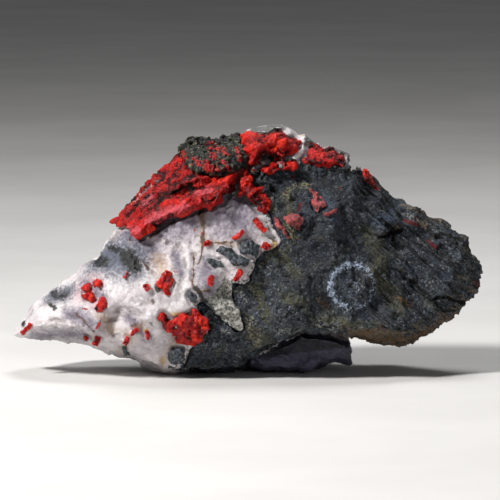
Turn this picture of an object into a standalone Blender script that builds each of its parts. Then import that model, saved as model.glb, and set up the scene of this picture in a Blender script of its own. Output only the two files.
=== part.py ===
"""A hand specimen of red realgar on white calcite and dark limestone.

The stone is drawn as a front elevation in millimetres: u runs right, v runs up and p stands
out towards the viewer. The whole elevation leans back by LEAN, and place() turns it into metres
with +Z up. Every outline below is read in that elevation.
"""

import math

import bmesh
import bpy
import numpy as np
from mathutils import Vector, noise
from mathutils.geometry import delaunay_2d_cdt

MM = 0.001
LEAN = math.radians(6.0)
FLOOR_DROP = 0.83
DEPTH_SHIFT = -0.96
SIDE_SHIFT = 0.13

# A piece lies in a pocket of its neighbour: the clearance beside it and under it, and how
# far the pocket's wall leans outwards.
GAP = 0.3
UNDER_GAP = 0.6
WALL = 0.12
FAR_FRONT = 40.0
THINNEST = 0.4

# Mesh spacing of the stone's front and back, and how its broken faces meet.
STONE_STEP = 1.6
STONE_BACK_STEP = 3.5
HOST_BACK_STEP = 2.5
RIM_ROUND = 4.6
EDGE_WALL = 2.6
EDGE_LOOP = 0.25
PLANE_BLEND = 1.3
STONE_RAGGED = 0.25

# The dark limestone stands a little above the calcite and is rounded at its edge.
HOST_RISE = 1.0
HOST_BLEND = 2.0
HOST_DROP = 0.35
HOST_ROUND = 1.0

# Points this close become one, and a mesh is filled again this often to break the edges
# that bridge a narrow place.
WELD = 0.004
BRIDGE_ROUNDS = 6

STONE = [
    (-48.0, 8.2), (-47.2, 10.2), (-46.0, 12.0), (-44.8, 14.4), (-43.2, 15.8), (-40.4, 17.8),
    (-38.0, 19.8), (-35.4, 21.2), (-34.2, 22.8), (-32.4, 24.0), (-31.0, 24.8), (-29.4, 27.6),
    (-27.8, 30.0), (-25.6, 32.4), (-22.0, 36.4), (-18.4, 39.6), (-14.8, 43.6), (-12.4, 46.0),
    (-9.0, 46.4), (-5.0, 46.8), (-2.0, 48.0), (-1.0, 50.0), (1.2, 50.8), (4.0, 51.2),
    (6.8, 51.2), (8.8, 50.2), (10.0, 49.0), (11.2, 49.4), (13.2, 47.6), (16.0, 46.8),
    (18.4, 46.0), (20.4, 44.6), (22.4, 43.4), (24.4, 41.2), (26.8, 38.6), (29.6, 36.6),
    (32.4, 35.2), (36.0, 33.6), (39.2, 31.6), (42.4, 29.8), (44.6, 28.8), (45.2, 26.2),
    (47.2, 23.2), (47.8, 21.2), (46.4, 17.6), (43.2, 13.2), (40.4, 10.6), (36.8, 8.2),
    (34.8, 7.2), (31.0, 5.4), (27.0, 5.6), (23.2, 6.4), (21.0, 6.2), (21.2, 2.6),
    (20.2, 1.8), (17.6, 2.4), (14.4, 1.2), (12.2, -0.8), (9.6, -0.8), (7.6, 0.4),
    (4.4, 0.8), (-0.8, 1.4), (-6.0, 1.2), (-11.0, 1.0), (-13.6, 0.2), (-15.2, -0.8),
    (-18.4, -0.6), (-20.4, 0.8), (-22.0, 1.6), (-23.6, 3.0), (-26.4, 3.8), (-28.8, 3.6),
    (-30.4, 4.8), (-32.4, 5.8), (-34.8, 6.4), (-36.8, 6.4), (-39.2, 7.0), (-44.0, 7.2),
    (-46.4, 7.8),
]

# Where the limestone reaches the stone's rim, as places in the list above.
HOST_TOP = 32
HOST_FOOT = 51
CALCITE_TOP = 31
CALCITE_FOOT = 52

# The limestone's lower edge over the hollow, and its edge against the calcite.
HOLLOW_EDGE = [
    (21.8, 7.4), (19.4, 7.2), (17.0, 8.2), (13.4, 8.6), (10.2, 8.6), (8.2, 7.6), (6.4, 7.0),
    (4.4, 5.8), (1.6, 4.6), (-0.8, 3.2),
]
LOBE_FOOT = [(-0.8, 1.4), (-6.0, 1.2), (-11.0, 1.0)]
HOST_EDGE = [
    (-12.2, 2.2), (-12.0, 4.0), (-11.2, 6.2), (-10.0, 8.0), (-9.4, 10.0), (-9.6, 12.4),
    (-10.0, 14.8), (-8.6, 14.0), (-7.2, 12.2), (-4.8, 10.0), (-2.8, 8.6), (-1.0, 8.4),
    (-0.4, 10.6), (-1.4, 13.2), (-2.6, 16.2), (-3.0, 18.6), (-0.8, 17.8), (0.6, 19.2),
    (1.0, 21.4), (1.8, 23.6), (3.4, 25.0), (5.2, 25.4), (6.6, 26.4), (7.2, 27.8), (6.4, 29.4),
    (5.2, 31.2), (4.2, 32.8), (4.4, 34.2), (4.2, 36.0), (3.0, 37.2), (1.6, 38.2), (0.8, 39.6),
    (1.4, 41.2), (3.6, 41.6), (6.0, 42.0), (8.6, 42.4), (10.2, 42.4), (12.4, 41.8),
    (15.5, 41.7), (18.6, 41.5), (20.6, 42.4),
]
HOST = STONE[HOST_TOP:HOST_FOOT + 1] + HOLLOW_EDGE + LOBE_FOOT + HOST_EDGE

# The calcite runs on behind the limestone to an edge that nobody sees.
HIDDEN_EDGE = [
    (19.2, 41.0), (17.0, 36.0), (15.5, 29.0), (16.0, 21.0), (18.0, 13.5), (20.2, 8.8),
]
CALCITE = STONE[CALCITE_FOOT:] + STONE[:CALCITE_TOP + 1] + HIDDEN_EDGE
HOLLOW = HOLLOW_EDGE + [(-0.8, -3.0), (22.6, -3.0), (22.6, 7.4)]

# Flat broken faces of the stone: (depth at the origin, slope along u, slope along v).
FRONT_PLANES = [
    (33.1, 0.445, -0.402), (27.6, -0.310, -0.393), (18.4, -0.060, -0.100),
    (25.0, -0.420, 0.0), (8.6, 0.050, 0.750),
]
BACK_PLANES = [
    (29.0, 0.385, -0.348), (23.3, -0.260, -0.330), (11.6, 0.100, 0.120),
    (31.0, -0.550, 0.0), (9.5, 0.0, 0.900),
]

# Rounded swellings and hollows of the front: (u, v, radius, height).
SWELLINGS = [
    (16.0, 35.6, 14.0, 1.6), (20.4, 18.2, 7.0, 1.6), (8.0, 13.6, 9.0, 1.0),
    (27.0, 17.0, 5.0, -1.2), (33.0, 24.0, 8.0, 0.9), (-20.0, 15.6, 8.0, 1.2),
    (-36.0, 11.6, 6.5, 1.2), (-7.0, 32.6, 8.0, 0.8), (-27.0, 11.6, 4.0, -1.4),
    (-24.0, 25.0, 8.0, 0.9), (-5.0, 17.0, 4.0, -1.2), (4.0, 43.4, 2.8, -2.0),
    (-18.6, 21.6, 2.4, -1.4), (-42.0, 12.0, 3.0, -0.8), (1.8, 8.4, 3.0, 1.2),
]

# Chips in the broken faces: (seed, spacing, tilt, unevenness, curve), and their height.
HOST_CHIPS = (3, 7.5, 0.52, 1.1, 0.045)
CALCITE_CHIPS = (8, 6.0, 0.30, 0.6, 0.05)
BACK_CHIPS = (5, 11.0, 0.60, 2.0, 0.03)
CLUSTER_CHIPS = (11, 1.9, 0.9, 0.4, 0.15)
SHALE_CHIPPING = (12, 2.4, 0.5, 0.2, 0.10)

# Bedding steps of the limestone's right end.
BED_START = 24.0
BED_PITCH = 4.4
BED_DEPTH = 0.9
BED_ALONG = (0.55, 0.83)

# The calcite foot under the hollow: how far it stands out at its top and at the floor.
FOOT_TOP = 3.2
FOOT_FLOOR = 6.4
FOOT_TOP_V = 4.4

# The heel that the specimen rests on behind its front edge: points round its base as (u, p),
# its height, and how much narrower it is at its top.
HEEL = [
    (-19.5, -6.0), (-17.0, -10.5), (-11.5, -12.8), (-4.0, -12.0), (3.5, -13.2), (9.0, -11.6),
    (12.5, -7.4), (11.0, -4.4), (2.0, -3.6), (-9.0, -4.0), (-16.5, -3.8),
]
HEEL_TOP = 7.5
HEEL_SHRINK = 0.62

# The limestone's inner face runs back from its left edge, as p falls along u.
INNER_AT_LEFT = 9.4
INNER_SLOPE = 0.7
THINNEST_HOST = 4.0
HOST_UNDER_GAP = 1.5

CRUST_LEFT = [
    (-28.2, 31.2), (-26.6, 32.6), (-25.2, 34.2), (-23.6, 35.8), (-22.2, 37.6), (-20.8, 39.2),
    (-19.0, 40.8), (-17.4, 42.2), (-16.0, 43.6), (-15.0, 45.0), (-13.8, 45.6), (-13.2, 44.0),
    (-12.6, 42.4), (-10.8, 41.2), (-9.2, 40.8), (-7.4, 40.4), (-5.8, 40.0), (-4.0, 40.8),
    (-2.6, 41.6), (-2.2, 41.0), (-3.0, 39.6), (-3.0, 38.2), (-3.6, 37.2), (-4.8, 36.2),
    (-5.6, 34.8), (-7.4, 34.0), (-9.4, 33.6), (-12.0, 32.8), (-14.8, 32.0), (-17.2, 30.6),
    (-19.6, 29.2), (-22.2, 28.0), (-23.4, 28.4), (-24.2, 29.8), (-26.0, 30.4),
]
SULPHIDE = [
    (-14.6, 45.6), (-14.0, 46.6), (-12.8, 47.8), (-11.2, 48.2), (-9.2, 48.2), (-7.6, 47.8),
    (-5.6, 48.4), (-3.6, 49.0), (-2.2, 49.2), (-1.4, 47.6), (-1.2, 45.6), (-0.8, 44.0),
    (-1.0, 42.4), (-2.0, 41.6), (-3.6, 40.6), (-5.6, 39.6), (-8.0, 40.2), (-10.8, 40.8),
    (-12.6, 42.0), (-13.4, 43.8),
]
CRUST_MIDDLE = [
    (-1.8, 38.4), (-2.0, 40.0), (-1.4, 41.2), (-0.7, 41.8), (-0.2, 41.0), (0.4, 40.4),
    (0.2, 39.2), (0.8, 38.0), (1.8, 38.0), (2.8, 38.6), (3.0, 38.0), (2.2, 37.0),
    (3.2, 36.2), (3.8, 35.2), (3.6, 34.0), (3.0, 33.0), (1.8, 33.0), (1.0, 34.4),
    (-0.2, 35.6), (-1.2, 36.4), (-2.6, 36.2), (-2.0, 37.2),
]
CRUST_TOP = [
    (-2.0, 48.8), (-0.4, 49.2), (1.2, 49.0), (3.2, 48.8), (4.4, 49.2), (5.2, 49.8),
    (6.2, 49.8), (7.0, 49.0), (8.2, 48.2), (9.4, 48.0), (10.0, 47.2), (9.8, 46.2),
    (8.6, 45.4), (7.6, 44.6), (7.0, 43.8), (6.6, 43.0), (5.8, 43.4), (4.8, 44.2),
    (3.8, 44.8), (2.6, 44.6), (2.0, 43.6), (1.4, 42.6), (0.6, 42.2), (-0.4, 42.8),
    (-0.2, 43.6), (-0.8, 44.4), (-1.4, 45.6), (-1.6, 47.0),
]
CRUST_LOWER = [
    (2.2, 42.0), (3.2, 42.4), (4.0, 42.2), (4.4, 42.8), (5.4, 42.6), (6.2, 42.0),
    (7.2, 42.4), (8.0, 43.2), (9.2, 43.0), (9.4, 42.2), (8.4, 41.4), (7.2, 41.6),
    (5.8, 41.2), (4.6, 40.8), (3.4, 41.0), (2.4, 41.2),
]
CRUST_RIGHT = [
    (11.4, 47.0), (12.8, 47.2), (14.0, 46.8), (15.0, 46.0), (16.2, 46.2), (17.4, 45.6),
    (18.2, 44.8), (19.0, 45.0), (19.0, 43.6), (19.4, 42.4), (20.2, 41.6), (19.0, 41.8),
    (17.8, 42.4), (16.6, 42.6), (15.8, 42.0), (14.6, 42.4), (13.4, 42.2), (12.2, 42.8),
    (10.8, 43.0), (10.4, 43.6), (11.2, 44.2), (11.6, 45.4),
]
CRUST_EDGE = [
    (22.8, 42.0), (23.8, 41.6), (24.4, 40.4), (25.2, 39.2), (26.0, 37.8), (25.2, 37.6),
    (24.0, 38.8), (23.0, 39.6), (22.8, 40.8),
]
PATCHES = [
    [(6.8, 32.2), (7.8, 33.2), (8.8, 33.2), (10.2, 32.6), (11.0, 32.0), (10.8, 30.8),
     (10.2, 30.0), (9.6, 29.2), (8.8, 29.6), (7.8, 30.2), (7.0, 31.2)],
    [(11.6, 37.8), (12.6, 37.6), (13.4, 36.8), (14.4, 36.2), (15.0, 35.2), (15.4, 34.4),
     (14.4, 33.9), (13.4, 33.2), (12.6, 34.0), (12.4, 35.6), (12.2, 36.8)],
    [(14.4, 32.8), (15.6, 33.3), (17.4, 34.0), (17.2, 33.2), (16.2, 32.4), (15.0, 32.1)],
]
STREAK = [
    (4.6, 32.4), (5.4, 32.0), (6.3, 30.6), (7.2, 29.4), (8.0, 28.0), (7.2, 27.7),
    (6.2, 28.8), (5.3, 30.2), (4.6, 31.4),
]
CLUSTER_LARGE = [
    (-18.2, 12.2), (-17.4, 13.4), (-16.4, 13.0), (-15.8, 12.0), (-14.8, 11.8), (-13.8, 12.6),
    (-12.6, 13.2), (-11.4, 13.6), (-10.6, 13.8), (-9.8, 12.8), (-8.8, 12.0), (-8.4, 10.6),
    (-8.6, 9.4), (-9.6, 8.6), (-9.4, 7.6), (-10.8, 7.0), (-12.6, 6.6), (-13.8, 7.2),
    (-15.0, 8.0), (-15.2, 9.0), (-16.4, 9.6), (-17.4, 10.6), (-18.0, 11.4),
]
CLUSTER_SMALL = [
    (-18.4, 18.8), (-17.6, 19.8), (-17.6, 21.0), (-16.4, 21.4), (-15.4, 21.0), (-15.6, 20.0),
    (-14.8, 19.6), (-15.6, 18.4), (-16.0, 17.4), (-16.1, 16.6), (-16.8, 17.0), (-17.4, 18.0),
]
GRAINS = [
    [(-31.2, 19.6), (-30.6, 20.0), (-29.8, 19.6), (-29.4, 19.0), (-29.8, 18.0), (-30.6, 18.2),
     (-31.2, 18.8)],
    [(-33.6, 18.2), (-32.8, 18.9), (-31.8, 18.6), (-31.6, 17.9), (-32.4, 17.5), (-33.2, 17.6)],
    [(-33.8, 16.6), (-32.8, 17.1), (-31.6, 16.8), (-30.8, 16.8), (-30.6, 15.8), (-31.4, 15.3),
     (-32.4, 15.7), (-33.4, 16.0)],
    [(-29.9, 16.2), (-29.2, 16.4), (-28.6, 15.6), (-28.8, 14.4), (-29.4, 13.4), (-30.6, 13.4),
     (-31.1, 13.9), (-30.0, 14.8)],
]
SHALE_CHIPS = [
    [(-7.0, 26.0), (-5.6, 26.4), (-3.6, 26.2), (-2.6, 25.2), (-2.0, 24.6), (-0.6, 24.2),
     (0.2, 23.8), (-0.2, 22.8), (-1.2, 22.6), (-2.8, 22.4), (-4.2, 22.8), (-4.8, 23.8),
     (-6.0, 24.6), (-6.8, 25.2)],
    [(-2.0, 26.6), (-1.8, 27.2), (-0.6, 27.8), (0.4, 27.6), (1.6, 26.8), (2.0, 25.6),
     (1.8, 24.5), (1.2, 23.9), (0.6, 24.4), (-0.4, 24.8), (-1.6, 25.4)],
    [(-9.2, 24.0), (-8.4, 24.2), (-7.2, 24.0), (-5.8, 23.6), (-5.2, 22.6), (-4.8, 21.8),
     (-5.8, 21.8), (-6.6, 22.4), (-7.6, 22.0), (-8.6, 22.8)],
    [(-12.2, 17.6), (-11.2, 16.8), (-10.4, 15.6), (-10.8, 15.2), (-11.8, 15.4), (-12.4, 16.6)],
    [(-16.2, 5.4), (-15.2, 6.2), (-14.0, 6.4), (-13.0, 5.8), (-12.7, 5.0), (-12.8, 3.6),
     (-13.0, 2.4), (-14.0, 1.6), (-15.2, 1.6), (-16.4, 2.0), (-16.6, 3.4)],
    [(-25.8, 6.0), (-24.8, 6.1), (-24.2, 5.4), (-24.2, 4.6), (-25.2, 4.2), (-25.8, 4.8)],
]

# Single crystals: (u, v, length, width, angle in degrees).
CRYSTALS = [
    (-44.9, 9.8, 2.8, 0.9, 46), (-24.6, 20.7, 1.4, 0.8, 52), (-20.5, 18.2, 1.7, 1.1, -62),
    (-30.3, 10.6, 1.4, 0.8, 70), (-32.8, 7.9, 1.2, 0.9, 62), (-30.6, 7.4, 2.1, 1.3, 66),
    (-23.0, 9.3, 1.8, 1.2, 50), (-24.5, 7.5, 1.7, 1.1, 58), (-20.4, 8.6, 1.9, 1.0, 90),
    (-8.6, 26.9, 1.3, 0.9, 10), (-2.2, 28.6, 2.8, 1.1, 36), (1.9, 30.6, 3.8, 1.3, -48),
    (3.2, 26.4, 1.8, 1.3, -34), (-2.4, 20.6, 2.8, 1.1, 62), (-7.8, 19.6, 2.4, 1.2, 76),
]
CRYSTAL_STAND = 0.3
CRYSTAL_CHISEL = 0.28
CRYSTAL_PITCH = 0.10

# Folds of the left crust: (points, half width, height).
LEFT_FOLDS = [
    ([(-27.4, 31.4), (-23.6, 35.0), (-19.6, 39.0), (-16.0, 42.4), (-14.4, 44.4)], 1.9, 1.1),
    ([(-24.8, 30.0), (-22.0, 30.0), (-17.0, 32.8), (-12.0, 35.0), (-7.0, 36.4), (-3.6, 38.4)],
     2.6, 1.9),
    ([(-18.0, 36.2), (-14.4, 38.4), (-11.0, 39.8), (-7.6, 40.4)], 1.3, 1.3),
    ([(-24.4, 31.6), (-21.6, 33.2), (-18.4, 35.4), (-15.6, 36.8), (-13.4, 37.6)], 1.5, -1.5),
    ([(-17.0, 38.8), (-14.4, 40.0), (-12.4, 40.6)], 1.1, -1.0),
]
TOP_FOLDS = [
    ([(-1.0, 47.8), (1.6, 46.8), (5.0, 48.2), (8.8, 46.8)], 1.4, 1.1),
    ([(0.2, 46.2), (1.4, 44.6), (1.0, 43.0)], 1.1, 0.9),
    ([(4.6, 46.4), (7.2, 46.2)], 1.2, -0.9),
]


def place(u, v, p):
    """A point of the elevation, in metres, with +Z up and the floor at zero."""
    back = v * math.sin(LEAN) - p * math.cos(LEAN) + DEPTH_SHIFT
    height = v * math.cos(LEAN) + p * math.sin(LEAN) - FLOOR_DROP
    return Vector(((u + SIDE_SHIFT) * MM, back * MM, height * MM))


def signed_area(outline):
    return 0.5 * sum(
        a[0] * b[1] - b[0] * a[1] for a, b in zip(outline, outline[1:] + outline[:1])
    )


def ragged(outline, step, amount):
    """The outline turned anticlockwise, cut into short sides and roughened."""
    if signed_area(outline) < 0:
        outline = outline[::-1]
    points = []
    for (u0, v0), (u1, v1) in zip(outline, outline[1:] + outline[:1]):
        length = math.hypot(u1 - u0, v1 - v0)
        out = ((v1 - v0) / length, (u0 - u1) / length)
        parts = max(1, round(length / step))
        for k in range(parts):
            u = u0 + (u1 - u0) * k / parts
            v = v0 + (v1 - v0) * k / parts
            push = amount * noise.fractal(Vector((u, v, 3.1)), 1.0, 2.0, 3)
            points.append((u + out[0] * push, v + out[1] * push))
    return points


def grown(outline, amount):
    """An anticlockwise outline moved outwards."""
    moved = []
    for before, here, after in zip(outline[-1:] + outline[:-1], outline, outline[1:] + outline[:1]):
        first = Vector((here[1] - before[1], before[0] - here[0])).normalized()
        second = Vector((after[1] - here[1], here[0] - after[0])).normalized()
        out = (first + second).normalized()
        reach = amount / max(0.6, out.dot(first))
        moved.append((here[0] + out.x * reach, here[1] + out.y * reach))
    return moved


def to_lines(points, line, closed=True):
    """Each point's distance to the nearest stretch of a line."""
    start = np.array(line, float)
    end = np.roll(start, -1, axis=0)
    if not closed:
        start, end = start[:-1], end[:-1]
    nearest = np.full(len(points), 1e9)
    for a, b in zip(start, end):
        along = b - a
        share = np.clip((points - a) @ along / (along @ along), 0, 1)
        nearest = np.minimum(nearest, np.hypot(*(points - a - share[:, None] * along).T))
    return nearest


def within(points, outline):
    """Whether each point lies inside the outline."""
    inside = np.zeros(len(points), bool)
    u, v = points.T
    for (u0, v0), (u1, v1) in zip(outline, outline[1:] + outline[:1]):
        crosses = (v0 > v) != (v1 > v)
        if v0 != v1:
            inside ^= crosses & (u < (u1 - u0) * (v - v0) / (v1 - v0) + u0)
    return inside


def rounded(distance, width):
    """Rises from 0 at a rim to 1 at the given distance inside it, as a quarter round."""
    return np.sqrt(1 - (1 - np.clip(distance / width, 0, 1)) ** 2)


def shouldered(distance, width):
    """Rises from 0 at a rim to 1 at the given distance inside it, less steeply at first."""
    return 1 - (1 - np.clip(distance / width, 0, 1)) ** 2


def lowest(planes, points):
    """The lowest of several planes over each point, with their meetings softened."""
    heights = np.array([a + b * points[:, 0] + c * points[:, 1] for a, b, c in planes])
    return -PLANE_BLEND * np.log(np.exp(-heights / PLANE_BLEND).sum(axis=0))


def chipped(points, chips):
    """Flat chips that meet in sharp ridges: the lowest of many shallow bowls tilted at random."""
    seed, spacing, tilt, uneven, curve = chips
    chance = np.random.default_rng(seed)
    across, up = np.meshgrid(np.arange(-60, 60, spacing), np.arange(-10, 60, spacing))
    centres = np.stack([across.ravel(), up.ravel()], axis=1)
    centres = centres + chance.uniform(-0.45, 0.45, centres.shape) * spacing
    slopes = chance.uniform(-tilt, tilt, centres.shape)
    levels = chance.uniform(-uneven, uneven, len(centres))
    away = points[:, None, :] - centres[None, :, :]
    bowls = levels + (away * slopes).sum(axis=2) + curve * (away**2).sum(axis=2)
    return bowls.min(axis=1)


def rough(points, size, seed):
    """Soft roughness of about one unit either way."""
    return np.array([noise.fractal(Vector((u / size, v / size, seed)), 0.9, 2.1, 4) for u, v in points])


def swollen(points, swellings):
    height = np.zeros(len(points))
    for u, v, radius, rise in swellings:
        share = np.hypot(points[:, 0] - u, points[:, 1] - v) / radius
        height += rise * np.clip(1 - share**2, 0, 1) ** 2
    return height


def folded(points, folds):
    height = np.zeros(len(points))
    for line, half_width, rise in folds:
        share = to_lines(points, line, closed=False) / half_width
        height += rise * np.clip(1 - share**2, 0, 1) ** 1.5
    return height


def middle(points):
    """Depth of the stone's rim, which wanders forwards and backwards."""
    return 1.8 * rough(points, 20.0, 9.0) - 0.8


def bedding(points):
    """Saw-toothed steps of the limestone's beds towards its right end."""
    along = points @ np.array(BED_ALONG) / BED_PITCH + 0.5 * rough(points, 9.0, 4.0)
    fade = np.clip((points[:, 0] - BED_START) / 6.0, 0, 1)
    return -BED_DEPTH * fade * (along % 1.0)


def inset(points):
    """Each point's distance inside the stone's rim."""
    return np.where(within(points, STONE_RIM), to_lines(points, STONE_RIM), 0)


def face(points):
    """How far the stone's broken front stands out, before anything is sunk in it."""
    points = np.asarray(points, float)
    rim = shouldered(inset(points), RIM_ROUND)
    body = lowest(FRONT_PLANES, points) + swollen(points, SWELLINGS) + bedding(points)
    from_host = to_lines(points, HOST_RIM) * np.where(within(points, HOST_RIM), 1, -1)
    host = np.clip(0.5 + from_host / HOST_BLEND, 0, 1)
    body += host * (HOST_RISE + chipped(points, HOST_CHIPS))
    body += (1 - host) * chipped(points, CALCITE_CHIPS)
    body += 0.35 * rough(points, 3.0, 1.0)
    return middle(points) * (1 - rim) + rim * body


def stone_back(points):
    points = np.asarray(points, float)
    rim = shouldered(inset(points), RIM_ROUND)
    body = lowest(BACK_PLANES, points) - chipped(points, BACK_CHIPS) + 0.6 * rough(points, 4.0, 5.0)
    return (middle(points) - EDGE_WALL) * (1 - rim) - rim * body


def foot(points):
    """The calcite foot's front, from the back of the hollow down to the floor."""
    share = np.clip((FOOT_TOP_V - points[:, 1]) / FOOT_TOP_V, 0, 1)
    depth = FOOT_TOP + (FOOT_FLOOR - FOOT_TOP) * share + 0.5 * rough(points, 2.5, 7.0)
    return middle(points) + (depth - middle(points)) * shouldered(inset(points), 2.5)


def calcite_top(points):
    front = face(points)
    return np.where(within(points, HOLLOW), np.minimum(front, foot(points)), front)


def host_top(points):
    """The limestone's front, rounded off along its edge against the calcite."""
    edge = rounded(to_lines(points, HOLLOW_EDGE + HOST_EDGE, closed=False), HOST_ROUND)
    return face(points) - HOST_DROP * (1 - edge)


def host_inner(points):
    """Depth of the limestone's inner face, where it lies on the calcite."""
    slope = INNER_AT_LEFT - INNER_SLOPE * (points[:, 0] + 2.0) + 0.8 * rough(points, 10.0, 15.0)
    body = np.minimum(slope, face(points) - THINNEST_HOST)
    rim = shouldered(inset(points), RIM_ROUND)
    return (middle(points) - 0.4 * EDGE_WALL) * (1 - rim) + rim * body


class Pocket:
    """A place sunk into a surface for a piece with the given outline."""

    def __init__(self, outline, floor):
        self.loops = [grown(outline, GAP), grown(outline, GAP + WALL)]
        self.mouth = grown(outline, GAP + WALL / 2)
        self.floor = floor


def sunk_by(top, pockets):
    """A surface's depth with its pockets."""
    def depth(points):
        result = top(points)
        for pocket in pockets:
            inside = within(points, pocket.mouth)
            if inside.any():
                result[inside] = np.minimum(result[inside], pocket.floor(points[inside]))
        return result
    return depth


def all_loops(pockets):
    return [loop for pocket in pockets for loop in pocket.loops]


def grid_inside(outline, loops, step):
    """Evenly spaced points inside an outline that keep clear of it and of some loops."""
    ring = np.array(outline)
    low, high = ring.min(axis=0), ring.max(axis=0)
    row = step * math.sqrt(3) / 2
    grid = []
    for j in range(int((high[1] - low[1]) / row) + 2):
        for i in range(int((high[0] - low[0]) / step) + 2):
            grid.append((low[0] + (i + 0.5 * (j % 2)) * step, low[1] + j * row))
    grid = np.array(grid)
    grid = grid[within(grid, outline)]
    for line in [outline, *loops]:
        grid = grid[to_lines(grid, line) > 0.45 * step]
    return [tuple(p) for p in grid]


def triangulated(outline, loops=(), inner=()):
    """Triangles inside an outline, through some loops and points; the outline's come first.

    Where a loop crosses the outline or another loop, a point is added.
    """
    flat, edges = [], []
    for line in [outline, *loops]:
        first = len(flat)
        flat += [Vector(p) for p in line]
        edges += [(first + k, first + (k + 1) % len(line)) for k in range(len(line))]
    flat += [Vector(p) for p in inner]
    points, pairs, faces, _, sources, _ = delaunay_2d_cdt(flat, edges, [], 0, WELD)
    on_side = {}
    for pair, origins in zip(pairs, sources):
        for side in origins:
            on_side.setdefault(side, set()).update(pair)
    ring = []
    for side in range(len(outline)):
        start = Vector(outline[side])
        ring += sorted(on_side[side], key=lambda k: (points[k] - start).length)[:-1]
    points = np.array([tuple(p) for p in points])
    triangles = np.array(faces)
    triangles = triangles[within(points[triangles].mean(axis=1), points[ring].tolist())]
    a, b, c = (points[triangles[:, k]] for k in range(3))
    clockwise = (b - a)[:, 0] * (c - a)[:, 1] < (b - a)[:, 1] * (c - a)[:, 0]
    triangles[clockwise] = triangles[clockwise][:, ::-1]
    order = ring + sorted(set(triangles.ravel().tolist()) - set(ring))
    index = np.zeros(len(points), int)
    index[order] = np.arange(len(order))
    return points[order], index[triangles].tolist(), len(ring)


def bridges_of(triangles, count):
    """Edges that join two of the outline's points across the inside."""
    found = set()
    for corners in triangles:
        for a, b in zip(corners, corners[1:] + corners[:1]):
            if max(a, b) < count and abs(a - b) not in (1, count - 1):
                found.add((min(a, b), max(a, b)))
    return sorted(found)


def unbridged(outline, loops, step):
    """A filled outline in which no edge joins two of the outline's points across the inside."""
    inner = grid_inside(outline, loops, step)
    points, triangles, count = triangulated(outline, loops, inner)
    for _ in range(BRIDGE_ROUNDS):
        bridges = bridges_of(triangles, count)
        if not bridges:
            break
        inner += [tuple((points[a] + points[b]) / 2) for a, b in bridges]
        points, triangles, count = triangulated(outline, loops, inner)
    return points, triangles


def new_object(name, mesh, material):
    """An object for a mesh that is already in place, with its finish."""
    made = bpy.data.objects.new(name, mesh)
    bpy.context.scene.collection.objects.link(made)
    if material:
        mesh.materials.append(material)
    return made


def mesh_from(name, corners, faces):
    """A closed mesh from points of the elevation and triangles that already face outwards."""
    mesh = bpy.data.meshes.new(name)
    mesh.from_pydata([place(*corner) for corner in corners], [], faces)
    mesh.update()
    return mesh


def lens(name, outline, front, back, rim, step, back_step=None, front_loops=(), back_loops=(),
         material=None):
    """A solid whose front and back meet along the outline, at the depth that rim gives."""
    crossed, _, count = triangulated(outline, [*front_loops, *back_loops])
    ring = [tuple(p) for p in crossed[:count]]
    ahead, ahead_faces = unbridged(ring, front_loops, step)
    back_step = back_step or step
    behind, behind_faces, behind_count = triangulated(
        ring, back_loops, grid_inside(ring, back_loops, back_step)
    )
    if behind_count != count:
        raise ValueError(f"{name}: its front and back don't meet")
    front_depth = np.maximum(front(ahead[count:]), back(ahead[count:]) + THINNEST)
    back_depth = np.minimum(back(behind[count:]), front(behind[count:]) - THINNEST)
    corners = [(*p, d) for p, d in zip(ring, rim(np.array(ring)))]
    corners += [(*p, d) for p, d in zip(ahead[count:], front_depth)]
    corners += [(*p, d) for p, d in zip(behind[count:], back_depth)]
    shift = len(ahead) - count
    turned = [[k if k < count else k + shift for k in triangle[::-1]] for triangle in behind_faces]
    return new_object(name, mesh_from(name, corners, ahead_faces + turned), material)


def cutter(name, outline, back, step):
    """A tool that cuts from far in front down to a depth, over the inside of an outline."""
    floor, floor_faces, count = triangulated(outline, [], grid_inside(outline, [], step))
    corners = [(*p, d) for p, d in zip(floor, back(floor))]
    lid = len(corners)
    corners += [(*p, FAR_FRONT) for p in outline]
    faces = [triangle[::-1] for triangle in floor_faces]
    for k in range(count):
        after = (k + 1) % count
        faces += [[k, after, lid + after], [k, lid + after, lid + k]]
    faces += [[lid + k for k in triangle] for triangle in triangulated(outline)[1]]
    return hidden(new_object(name, mesh_from(name, corners, faces), None))


def hidden(tool):
    tool.hide_render = True
    tool.display_type = "WIRE"
    return tool


def boolean(target, tool, operation):
    modifier = target.modifiers.new(tool.name, "BOOLEAN")
    modifier.operation = operation
    modifier.solver = "EXACT"
    modifier.object = tool


def hull(name, corners, material=None):
    """The convex solid round a few points, each already in metres."""
    shaped = bmesh.new()
    for corner in corners:
        shaped.verts.new(corner)
    result = bmesh.ops.convex_hull(shaped, input=shaped.verts)
    loose = [g for g in result["geom_interior"] + result["geom_unused"] if isinstance(g, bmesh.types.BMVert)]
    bmesh.ops.delete(shaped, geom=list(set(loose)), context="VERTS")
    bmesh.ops.recalc_face_normals(shaped, faces=shaped.faces)
    mesh = bpy.data.meshes.new(name)
    shaped.to_mesh(mesh)
    shaped.free()
    return new_object(name, mesh, material)


def finish(name, colour, roughness):
    """A plain finish: colour, roughness and no metal."""
    made = bpy.data.materials.new(name)
    made.use_nodes = True
    shader = made.node_tree.nodes["Principled BSDF"]
    shader.inputs["Base Color"].default_value = (*colour, 1.0)
    shader.inputs["Roughness"].default_value = roughness
    shader.inputs["Metallic"].default_value = 0.0
    made.diffuse_color = (*colour, 1.0)
    return made


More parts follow.
